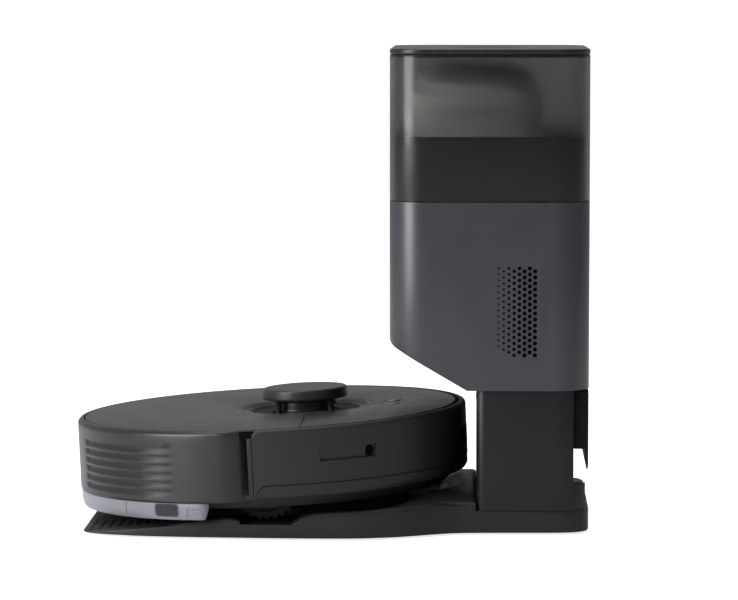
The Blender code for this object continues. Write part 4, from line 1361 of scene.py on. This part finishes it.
class ROBOT_OT_bumper(bpy.types.Operator):
    """The bumper with its lower seam, sensor slot and end flanges"""

    bl_idname = "vacuum.bumper"
    bl_label = "Bumper"

    def execute(self, context):
        radius = context.scene.robot_sizes.bumper_radius
        last = acos(-0.0066 / radius)
        steps = 216
        path = arc_path(radius, -last, last, steps)

        def wall(i, count):
            run = min(i, count - 1 - i) / (count - 1) * 2 * last * radius
            reach = 0.0045
            drop = reach - sqrt(max(0.0, reach ** 2 - (reach - run) ** 2)) if run < reach else 0.0
            sink = 0.0110 * max(0.0, 1.0 - run / 0.0110) ** 2
            seam = 0.0312 - sink
            top = fillet([(0.0, 0.0745), (0.0, 0.0793, 0.0034), (-0.0055, 0.0793)], False, 6)
            foot = min(0.0238, seam - 0.0022)
            outer = [
                (-0.0034, 0.0205), (-0.0024, 0.0206), (-0.0004, foot), (-0.0004, seam - 0.0008),
                (-0.0013, seam - 0.0003), (-0.0013, seam + 0.0003), (0.0, seam + 0.0007), (0.0, 0.0520)
            ]
            ring = outer + top + [(-0.0055, 0.0772), (-0.0034, 0.0762)]
            return [(d, z if z < 0.06 else z - drop * (z - 0.06) / 0.0193) for d, z in ring]

        bumper = blank("bumper_wall", swept(wall, path))
        a, b = edge_angle(0.0505, radius), edge_angle(0.0980, radius)
        mouth = [(-0.0029, 0.0499), (0.0030, 0.0490), (0.0030, 0.0606), (-0.0012, 0.0602)]
        carve(bumper, swept(mouth, arc_path(radius, a, b, 24)))
        hole = around(
            prism(
                rectangle(-0.0041, 0.0041, 0.0500, 0.0600, 0.0039, 6), radius - 0.0060, radius + 0.0040, "X"
            ),
            edge_angle(0.0934, radius)
        )
        carve(bumper, hole)
        finish(bumper, "bumper", "bumper_ring", ["bumper"], "plate_charcoal")

        # The sensor window behind the slot gets the near-black finish: painted shade of a deep hole
        paint("pit", "wall_sensor_window")

        flange = [
            (-0.0050, 0.0235), (-0.0030, 0.0235), (-0.0030, 0.0690), (-0.0038, 0.0715), (-0.0050, 0.0720)
        ]
        ends = both_sides(flange, radius, -0.0113, -0.0072, 3)
        make("bumper_end_flanges", ends, "bumper", "bumper_ring", slot="plate_charcoal", edge=0.0003)

        window = [(-0.0010, 0.0405), (0.0001, 0.0415), (0.0001, 0.0585), (-0.0010, 0.0595)]
        front = swept(window, arc_path(radius, radians(-17), radians(17), 30))
        make("bumper_infrared_strip", front, "rubber", "bumper_ring", slot="smoked_clear")
        return {"FINISHED"}


class ROBOT_OT_top(bpy.types.Operator):
    """The hinged lid, the front cover and its two keys"""

    bl_idname = "vacuum.top_plate"
    bl_label = "Top plate"

    def execute(self, context):
        radius = context.scene.robot_sizes.plate_radius
        hole = ((TURRET_X, 0.0, 0.0), 0.0608)
        lid = blank(
            "lid_plate", prism(round_plan(radius, x_high=HINGE_X, corner=0.0012), 0.0772, PLATE_TOP)
        )
        carve(lid, disc(hole[1], 0.06, 0.10, 0.0001, hole[0], steps=120))
        soften(lid, 0.0007, 3, radians(50))
        finish(lid, "plate", "top_lid", ["lid"], "plate_charcoal")

        cover = blank(
            "front_plate", prism(round_plan(radius, x_low=0.0348, corner=0.0012), 0.0775, PLATE_TOP)
        )
        carve(cover, disc(hole[1], 0.06, 0.10, 0.0001, hole[0], steps=120))
        soften(cover, 0.0007, 3, radians(50))
        for y in (-KEY_Y, KEY_Y):
            carve(cover, disc(0.0068, 0.07, 0.09, 0.0001, (KEY_X, y, 0.0), steps=48))
        pill = prism(
            fillet(
                [
                    (0.1018, -0.0215, 0.0081), (0.1182, -0.0215, 0.0081), (0.1182, 0.0215, 0.0081),
                    (0.1018, 0.0215, 0.0081)
                ],
                steps=8
            ),
            0.0791, 0.09
        )
        carve(cover, pill)
        finish(cover, "front", "robot", ["front_cover"], "plate_charcoal")

        for name, node, body, y in (
            ("power", "power_button", "power_key", -KEY_Y), ("home", "home_button", "home_key", KEY_Y)
        ):
            profile = [
                (0.0, 0.0757), (0.0062, 0.0757), (0.0065, 0.0762), (0.0065, 0.0795), (0.0059, 0.0800),
                (0.0040, 0.07985), (0.0, 0.0797)
            ]
            make(
                name + "_key_cap", turned(profile, (KEY_X, y, 0.0), steps=48), "ridge", body, [node],
                "plate_charcoal"
            )
            rim = [(0.0046, 0.07985), (0.0052, 0.07985), (0.0052, 0.08000), (0.0046, 0.08000)]
            make(name + "_key_ring", turned(rim, (KEY_X, y, 0.0), steps=40), "mark", body)
        dash = block(0.1085, 0.1115, -0.0134, -0.0126, 0.0797, 0.0800)
        dot = disc(0.0011, 0.0796, 0.0800, 0.0001, (KEY_X, KEY_Y, 0.0), steps=20)
        make("power_key_mark", dash, "light", "power_key")
        make("home_key_mark", dot, "light", "home_key")
        arc = [(-0.0006, 0.0790), (0.0006, 0.0790), (0.0006, 0.07965), (-0.0006, 0.07965)]
        bow = [
            (Vector((0.0925 + 0.034 * cos(a), 0.034 * sin(a))), Vector((cos(a), sin(a))))
            for a in (radians(-32 + 64 * i / 30) for i in range(31))
        ]
        make("status_light", swept(arc, bow), "ridge", "robot")
        return {"FINISHED"}


class ROBOT_OT_turret(bpy.types.Operator):
    """The ring recess, the turning sensor and the raised cap over it"""

    bl_idname = "vacuum.turret"
    bl_label = "Turret"

    def execute(self, context):
        here = (TURRET_X, 0.0, 0.0)
        profile = [(0.0585, 0.0702), (0.0604, 0.0705), (0.0604, 0.0789), (0.0599, 0.0793), (0.0592, 0.0790)]
        for k in range(4):
            r = 0.0586 - k * 0.0021
            z = 0.0786 - k * 0.0004
            profile += [
                (r, z - 0.0009), (r - 0.0003, z - 0.0012), (r - 0.0009, z - 0.0012), (r - 0.0011, z),
                (r - 0.0019, z)
            ]
        profile += [
            (0.0500, 0.0768), (0.0496, 0.0745), (0.0300, 0.0738), (0.0290, 0.0716), (0.0, 0.0716),
            (0.0, 0.0702)
        ]
        make(
            "turret_ring", turned(profile, here, steps=144), "ridge", "robot", ["turret_base"],
            "plate_charcoal"
        )
        well = [(0.0498, 0.0752), (0.0302, 0.0745), (0.0302, 0.0741), (0.0498, 0.0748)]
        make("turret_well", turned(well, here, steps=96), "inner", "robot", slot="dark_moulding")

        side = [
            (0.0358, 0.0868), (0.0374, 0.0872, 0.0008), (0.0378, 0.0890, 0.001), (0.0378, 0.0968, 0.0020),
            (0.0340, 0.0968)
        ]
        underside = [(0.0, 0.0868), (0.0330, 0.0868), (0.0358, 0.0868)]
        cap = underside + fillet(side, False, 5)[1:] + [(0.0310, 0.09675), (0.0, 0.0967)]
        make("turret_top", turned(cap, here, steps=128), "front", "robot", ["turret_cap"], "plate_charcoal")
        post = turned(
            [
                (0.0, 0.0735), (0.0036, 0.0735), (0.0030, 0.0755), (0.0026, 0.0790), (0.0026, 0.0850),
                (0.0032, 0.0870), (0.0, 0.0870)
            ],
            steps=20
        )
        bmesh.ops.translate(post, verts=post.verts, vec=(0.0330 * cos(pi / 4), 0.0330 * sin(pi / 4), 0.0))
        in_ring("turret_posts", post, 4, here, (0, 0, 1), "inner", "robot", slot="dark_moulding")

        wall = [
            (0.0270, 0.0763), (0.0270, 0.0788, 0.0005), (0.0262, 0.0790), (0.0262, 0.0846),
            (0.0256, 0.0853, 0.0004), (0.0240, 0.0853)
        ]
        drum = [(0.0, 0.0763)] + fillet(wall, False, 3) + [(0.0, 0.0853)]
        rotor = blank("laser_drum", turned(drum, here, steps=72))
        for angle in (0.0, 0.45):
            carve(
                rotor,
                around(
                    block(0.0238 + TURRET_X, 0.030 + TURRET_X, -0.0042, 0.0042, 0.0800, 0.0840), angle, here
                )
            )
        finish(rotor, "rim", "lidar", ["lidar_rotor"], "dark_moulding")
        eyes = []
        for angle in (0.0, 0.45):
            eye = turned(
                [(0.0, 0.0240), (0.0017, 0.0240), (0.0014, 0.0249), (0.0, 0.0252)], (TURRET_X, 0.0, 0.0820),
                axis="X", steps=20
            )
            eyes.append(around(eye, angle, here))
        make("laser_eyes", merged(*eyes), "lens", "lidar", slot="smoked_clear")
        return {"FINISHED"}


class ROBOT_OT_mop(bpy.types.Operator):
    """The milky mop bracket and its microfibre cloth"""

    bl_idname = "vacuum.mop"
    bl_label = "Mop"

    def execute(self, context):
        outer = 0.1722
        half = radians(71)
        foot = [
            (-0.0008, 0.0045), (-0.0018, 0.0024), (-0.0038, 0.0018), (-0.0062, 0.0020), (-0.0062, 0.0050),
            (-0.0036, 0.0080), (-0.0036, 0.0150)
        ]
        section = [
            (-0.0026, 0.0166), (-0.0008, 0.0166), (-0.0001, 0.0160), (0.0, 0.0150), (0.0, 0.0100)
        ] + foot
        rim = swept(section, turned_in(arc_path(outer, pi - half, pi + half, 160), 0.0085, radians(66), 6))
        plate = blank(
            "bracket_plate", prism(round_plan(0.1640, x_high=-0.0640, corner=0.004), 0.0052, 0.0098)
        )
        soften(plate, 0.0008, 2)
        wall = blank("mop_bracket_rim", rim)
        carve(
            wall,
            prism(
                [(-0.0455, 0.0200), (-0.0455, 0.0166), (-0.0545, -0.0100), (0.05, -0.0100), (0.05, 0.0200)],
                -0.2, 0.2, "Y"
            )
        )
        finish(wall, "milky", "mop", ["mop_bracket"], "milky_clear")
        finish(plate, "milky", "mop", slot="milky_clear")

        def panel(name, x0, x1, low, high, corner, finish_name, proud=0.0002):
            """A rounded inset that follows the bracket's outside, on both sides."""
            parts = []
            for side in (-1, 1):
                first, last = sorted((side * edge_angle(x0, outer), side * edge_angle(x1, outer)))
                wide = abs(last - first) * outer

                def cut(i, count):
                    run = min(i, count - 1 - i) / (count - 1) * wide
                    rise = corner - sqrt(
                        max(0.0, corner ** 2 - (corner - run) ** 2)
                    ) if run < corner else 0.0
                    z0, z1 = low + rise, high - rise
                    return [
                        (-0.0030, z0), (proud - max(0.0, 0.0100 - z0) * 0.145, z0),
                        (proud, max(z0, 0.0100)), (proud, z1), (-0.0030, z1)
                    ]

                parts.append(swept(cut, arc_path(outer, first, last, 36)))
            make(name, merged(*parts), finish_name, "mop", slot="milky_clear")

        panel("bracket_cloth_windows", -0.0945, -0.0742, 0.0052, 0.0160, 0.0026, "hook_tape")
        panel("bracket_window_frames", -0.0958, -0.0729, 0.0045, 0.0165, 0.0030, "milky_seam", 0.0001)
        panel("bracket_seams", -0.1224, -0.1218, 0.0048, 0.0163, 0.0001, "milky_seam")
        panel("bracket_latch_seams", -0.0662, -0.0656, 0.0048, 0.0120, 0.0001, "milky_seam")
        panel("bracket_latch_lines", -0.0660, -0.0540, 0.0115, 0.0120, 0.0001, "milky_seam")

        cloth = bmesh.new()
        edge = smoothed(round_plan(0.1625, x_high=-0.0810, steps=90, corner=0.010), 1)
        rings = []
        middle = Vector((-0.118, 0.0))
        for share, z in (
            (0.02, 0.0018), (0.70, 0.0018), (0.955, 0.0018), (0.985, 0.0017), (1.0, 0.0026), (1.0, 0.0038),
            (0.985, 0.0047), (0.955, 0.0044), (0.70, 0.0045), (0.02, 0.0045)
        ):
            rings.append(
                [
                    (middle.x + (x - middle.x) * share, y * share, z + 0.00012 * sin(x * 900 + y * 700))
                    for x, y in edge
                ]
            )
        bridge(cloth, rings)
        pad = make("mop_pad", cloth, "cloth", "mop", ["mop_cloth"], "microfibre", radians(60))
        across = [p[0] for p in edge]
        along = [p[1] for p in edge]
        flat = (max(across) - min(across), max(along) - min(along))
        cut = abs(sum(a[0] * b[1] - b[0] * a[1] for a, b in zip(edge, edge[1:] + edge[:1]))) / 2
        return {"FINISHED"}


class ROBOT_OT_wheels(bpy.types.Operator):
    """The treaded drive wheels on their sprung arms"""

    bl_idname = "vacuum.wheels"
    bl_label = "Drive wheels"

    def execute(self, context):
        blocks = context.scene.robot_sizes.tread_blocks
        for word, side, letter in (("right", -1, "r"), ("left", 1, "l")):
            y0, y1 = sorted((side * 0.0985, side * 0.1235))
            centre = (0.0, 0.0, 0.0298)
            body = "wheel_" + letter
            core = fillet([(0.0279, y0), (0.0328, y0, 0.0012), (0.0328, y1, 0.0012), (0.0279, y1)], steps=3)
            make(
                "tyre_core_" + word, turned(core, centre, "Y", 72), "tread", body, ["tyre_" + word],
                "black_rubber"
            )
            low, high = y0 + 0.0004, y1 - 0.0004
            middle = (low + high) / 2
            lug = fillet(
                [(-0.0022, 0.0322), (-0.0016, 0.0345, 0.0004), (0.0016, 0.0345, 0.0004), (0.0022, 0.0322)],
                steps=1
            )
            half_step = pi / blocks
            other = prism(lug, middle + 0.0006, high, "Y")
            bmesh.ops.rotate(
                other, verts=other.verts, cent=(0, 0, 0), matrix=Matrix.Rotation(half_step, 3, "Y")
            )
            lugs = merged(prism(lug, low, middle - 0.0006, "Y"), other)
            in_ring("tread_" + word, lugs, blocks, centre, (0, 1, 0), "tread", body, slot="black_rubber")
            face = side * 0.1235
            back = side * 0.0990
            dish = [
                (0.0, back), (0.0275, back), (0.0275, face - side * 0.0008), (0.0262, face), (0.0240, face),
                (0.0226, face - side * 0.0030), (0.0090, face - side * 0.0044),
                (0.0076, face - side * 0.0006), (0.0, face)
            ]
            make(
                "hub_" + word, turned(dish, centre, "Y", 60), "chassis", body, ["wheel_hub_" + word],
                "dark_moulding"
            )
            rib = prism(
                [(0.0085, -0.0011), (0.0232, -0.0007), (0.0232, 0.0007), (0.0085, 0.0011)],
                *sorted((face - side * 0.0040, face - side * 0.0012))
            )
            for v in rib.verts:
                v.co = (v.co.y, v.co.z, v.co.x)
            in_ring("hub_ribs_" + word, rib, 8, centre, (0, 1, 0), "chassis", body, slot="dark_moulding")
            paint("chassis", "wheel_arm_" + word)
            cap = (0.0, face - side * 0.0002, 0.0298)
            on_spots(
                "hub_screw_" + word, screw_head("Y" if side > 0 else "-Y", 0.0030), [cap], "steel", body
            )
        return {"FINISHED"}


class ROBOT_OT_underside(bpy.types.Operator):
    """The brushes, caster, contacts, sensors and screws under the robot"""

    bl_idname = "vacuum.underside"
    bl_label = "Underside"

    def execute(self, context):
        centre = (0.0590, 0.0, 0.0205)
        core = fillet(
            [
                (0.0, -0.0808), (0.0100, -0.0808, 0.001), (0.0118, -0.0770, 0.002), (0.0118, 0.0770, 0.002),
                (0.0100, 0.0808, 0.001), (0.0, 0.0808)
            ],
            False, 3
        )
        make(
            "brush_core", turned(core, centre, "Y", 40), "inner", "brush_roll", ["main_brush"],
            "dark_moulding"
        )
        vane = bmesh.new()
        rings = []
        for i in range(41):
            y = -0.0780 + 0.1560 * i / 40
            turn = radians(70) * (1 - abs(y) / 0.0780)
            ring = []
            for r, t in (
                (0.0112, -0.0010), (0.0150, -0.0005), (0.0178, -0.0004), (0.0178, 0.0004), (0.0150, 0.0005),
                (0.0112, 0.0010)
            ):
                a = turn + t / r
                ring.append((r * cos(a), y, r * sin(a)))
            rings.append(ring)
        bridge(vane, rings)
        in_ring("brush_vanes", vane, 3, centre, (0, 1, 0), "soft_rubber", "brush_roll", slot="black_rubber")
        tuft = bmesh.new()
        rings = []
        for i in range(41):
            y = -0.0780 + 0.1560 * i / 40
            turn = radians(60 + 70 * (1 - abs(y) / 0.0780))
            wobble = 0.0004 * sin(i * 2.6)
            rings.append(
                [
                    (r * cos(turn + t / r), y, r * sin(turn + t / r))
                    for r, t in (
                        (0.0112, -0.0007), (0.0174 + wobble, -0.0011), (0.0174 + wobble, 0.0011),
                        (0.0112, 0.0007)
                    )
                ]
            )
        bridge(tuft, rings)
        in_ring("brush_tufts", tuft, 3, centre, (0, 1, 0), "bristle", "brush_roll", slot="black_rubber")

        side = (0.100, 0.105, 0.0)
        boss = fillet(
            [(0.0, 0.0052), (0.0110, 0.0056, 0.001), (0.0120, 0.0095, 0.001), (0.0, 0.0098)], False, 3
        )
        make(
            "side_brush_hub", turned(boss, side, steps=40), "soft_rubber", "side_brush_body",
            ["side_brush"], "black_rubber"
        )
        arm = prism(
            fillet(
                [(0.0080, -0.0042), (0.0270, -0.0026, 0.001), (0.0270, 0.0026, 0.001), (0.0080, 0.0042)],
                steps=3
            ),
            0.0056, 0.0074
        )
        turn_first = Matrix.Rotation(radians(25), 3, "Z")
        bmesh.ops.rotate(arm, verts=arm.verts, cent=(0, 0, 0), matrix=turn_first)
        in_ring(
            "side_brush_arms", arm, 3, side, (0, 0, 1), "soft_rubber", "side_brush_body",
            slot="black_rubber"
        )
        strands = []
        for k in range(14):
            fan = (k - 6.5) / 6.5
            strand = bmesh.new()
            start = Vector((0.0255, fan * 0.0022, 0.0065 + 0.0006 * ((k * 5) % 3 - 1)))
            end = Vector((0.0438 - 0.0012 * abs(fan), fan * 0.0062, 0.0058 + 0.0010 * ((k * 7) % 3 - 1)))
            rings = [
                [tuple(p + Vector((0.0, 0.00028 * cos(t), 0.00028 * sin(t)))) for t in (0.5, 2.6, 4.7)]
                for p in (start, (start + end) / 2 + Vector((0, fan * 0.0004, 0.0002)), end)
            ]
            bridge(strand, rings)
            strands.append(strand)
        brush = merged(*strands)
        bmesh.ops.rotate(brush, verts=brush.verts, cent=(0, 0, 0), matrix=turn_first)
        in_ring(
            "side_brush_strands", brush, 3, side, (0, 0, 1), "bristle", "side_brush_body",
            slot="black_rubber"
        )
        on_spots(
            "side_brush_screw", screw_head("-Z", 0.0028), [(side[0], side[1], 0.0050)], "steel",
            "side_brush_body"
        )

        paint("chassis", "chassis", "caster_fork", "brush_cover")
        paint("rubber", "caster_wheel")
        paint("contact", "charge_pad_right", "charge_pad_left")
        paint("inner", "side_brush_motor")
        cup = turned(
            [(0.0, 0.0098), (0.0052, 0.0098), (0.0060, 0.0104), (0.0060, 0.0112), (0.0, 0.0112)], steps=28
        )
        places = [
            (0.144 * cos(a), 0.144 * sin(a), -0.0002) for a in (radians(t) for t in (-52, 62, 14, -14))
        ]
        on_spots("cliff_sensor_windows", cup, places, "lens", "robot", slot="smoked_clear")
        heads = [
            (0.148 * cos(a), 0.148 * sin(a), 0.0103)
            for a in (radians(t) for t in (-75, 80, 36, -36, -100, 100))
        ]
        heads += [
            (-0.040, y, 0.0103) for y in (-0.050, 0.050)
        ] + [(0.0900, y, 0.0103) for y in (-0.030, 0.030)]
        on_spots("chassis_screws", screw_head("-Z", 0.0030), heads, "steel", "robot")
        catches = [(0.0340, y, 0.0084) for y in (-0.060, 0.060)]
        grip = turned(
            [(0.0, -0.0004), (0.0, 0.0012), (0.0030, 0.0012), (0.0030, 0.0), (0.0024, -0.0004)], steps=20
        )
        on_spots("brush_cover_catches", grip, catches, "soft_rubber", "robot")
        return {"FINISHED"}


class ROBOT_OT_insides(bpy.types.Operator):
    """What the open lid shows, and the motors, boards and cells behind it"""

    bl_idname = "vacuum.insides"
    bl_label = "Insides"

    def execute(self, context):
        paint("ridge", "top_deck")
        paint("bin", "dust_bin")
        paint("filter", "dust_filter")
        paint("cells", "battery")
        paint("board", "main_board")
        paint("inner", "fan_housing")
        paint("steel", "fan_impeller")
        grip = prism(
            fillet(
                [
                    (-0.0180, 0.0, 0.0030), (0.0180, 0.0, 0.0030), (0.0180, 0.0080, 0.0030),
                    (-0.0180, 0.0080, 0.0030)
                ],
                steps=4
            ),
            0.0691, 0.0702
        )
        for v in grip.verts:
            v.co = (v.co.y - 0.0945, v.co.x, v.co.z)
        make("bin_handle_pad", grip, "soft_rubber", "bin", edge=0.0003)
        chip = block(-0.004, 0.004, -0.004, 0.004, -0.0007, 0.0007)
        spots = [(x, y, 0.0664) for x in (0.104, 0.120, 0.134) for y in (-0.038, -0.012, 0.016, 0.042)]
        on_spots(
            "main_board_chips", chip, spots, "inner", "robot",
            sizes=[0.6 + 0.2 * ((i * 7) % 4) for i in range(12)]
        )
        deck = [
            (x, y, 0.0753)
            for x, y in (
                (-0.138, 0.060), (-0.138, -0.060), (-0.040, 0.100), (-0.040, -0.100), (0.005, 0.140),
                (0.005, -0.140)
            )
        ]
        on_spots("deck_screws", screw_head("Z", 0.0026), deck, "steel", "robot")
        leaf = prism(rectangle(-0.0120, 0.0120, -0.0160, 0.0160, 0.002, 4), 0.0753, 0.0757)
        bmesh.ops.translate(leaf, verts=leaf.verts, vec=(-0.034, 0.0, 0.0))
        make("deck_reset_label_blank", leaf, "mark", "robot")
        return {"FINISHED"}


# ------------------------------------------------------------------ panel
PIECES = (
    STAGE_OT_studio, DOCK_OT_base, DOCK_OT_column, DOCK_OT_housing, DOCK_OT_bag, ROBOT_OT_shell,
    ROBOT_OT_bumper, ROBOT_OT_top, ROBOT_OT_turret, ROBOT_OT_mop, ROBOT_OT_wheels, ROBOT_OT_underside,
    ROBOT_OT_insides
)


class VACUUM_PT_pieces(bpy.types.Panel):
    """Lists the pieces of the robot vacuum and its dock"""

    bl_idname = "VACUUM_PT_pieces"
    bl_label = "Robot Vacuum"
    bl_space_type = "VIEW_3D"
    bl_region_type = "UI"
    bl_category = "Robot Vacuum"

    def draw(self, context):
        for title, sizes in (("Robot", context.scene.robot_sizes), ("Dock", context.scene.dock_sizes)):
            box = self.layout.box()
            box.label(text=title)
            for key in type(sizes).__annotations__:
                box.prop(sizes, key)
        for piece in PIECES:
            self.layout.operator(piece.bl_idname)


CLASSES = (RobotSizes, DockSizes, *PIECES, VACUUM_PT_pieces)
FINISH = {}
TREES = {}


def register():
    for cls in CLASSES:
        bpy.utils.register_class(cls)
    bpy.types.Scene.robot_sizes = PointerProperty(type=RobotSizes)
    bpy.types.Scene.dock_sizes = PointerProperty(type=DockSizes)


def unregister():
    del bpy.types.Scene.dock_sizes
    del bpy.types.Scene.robot_sizes
    for cls in reversed(CLASSES):
        bpy.utils.unregister_class(cls)


def main():
    register()
    FINISH.update(build_finishes())
    TREES.update(row=row_tree(), ring=ring_tree(), spots=spots_tree(), perforate=perforate_tree())
    for piece in PIECES:
        group, _, call = piece.bl_idname.partition(".")
        getattr(getattr(bpy.ops, group), call)()


if __name__ == "__main__":
    main()
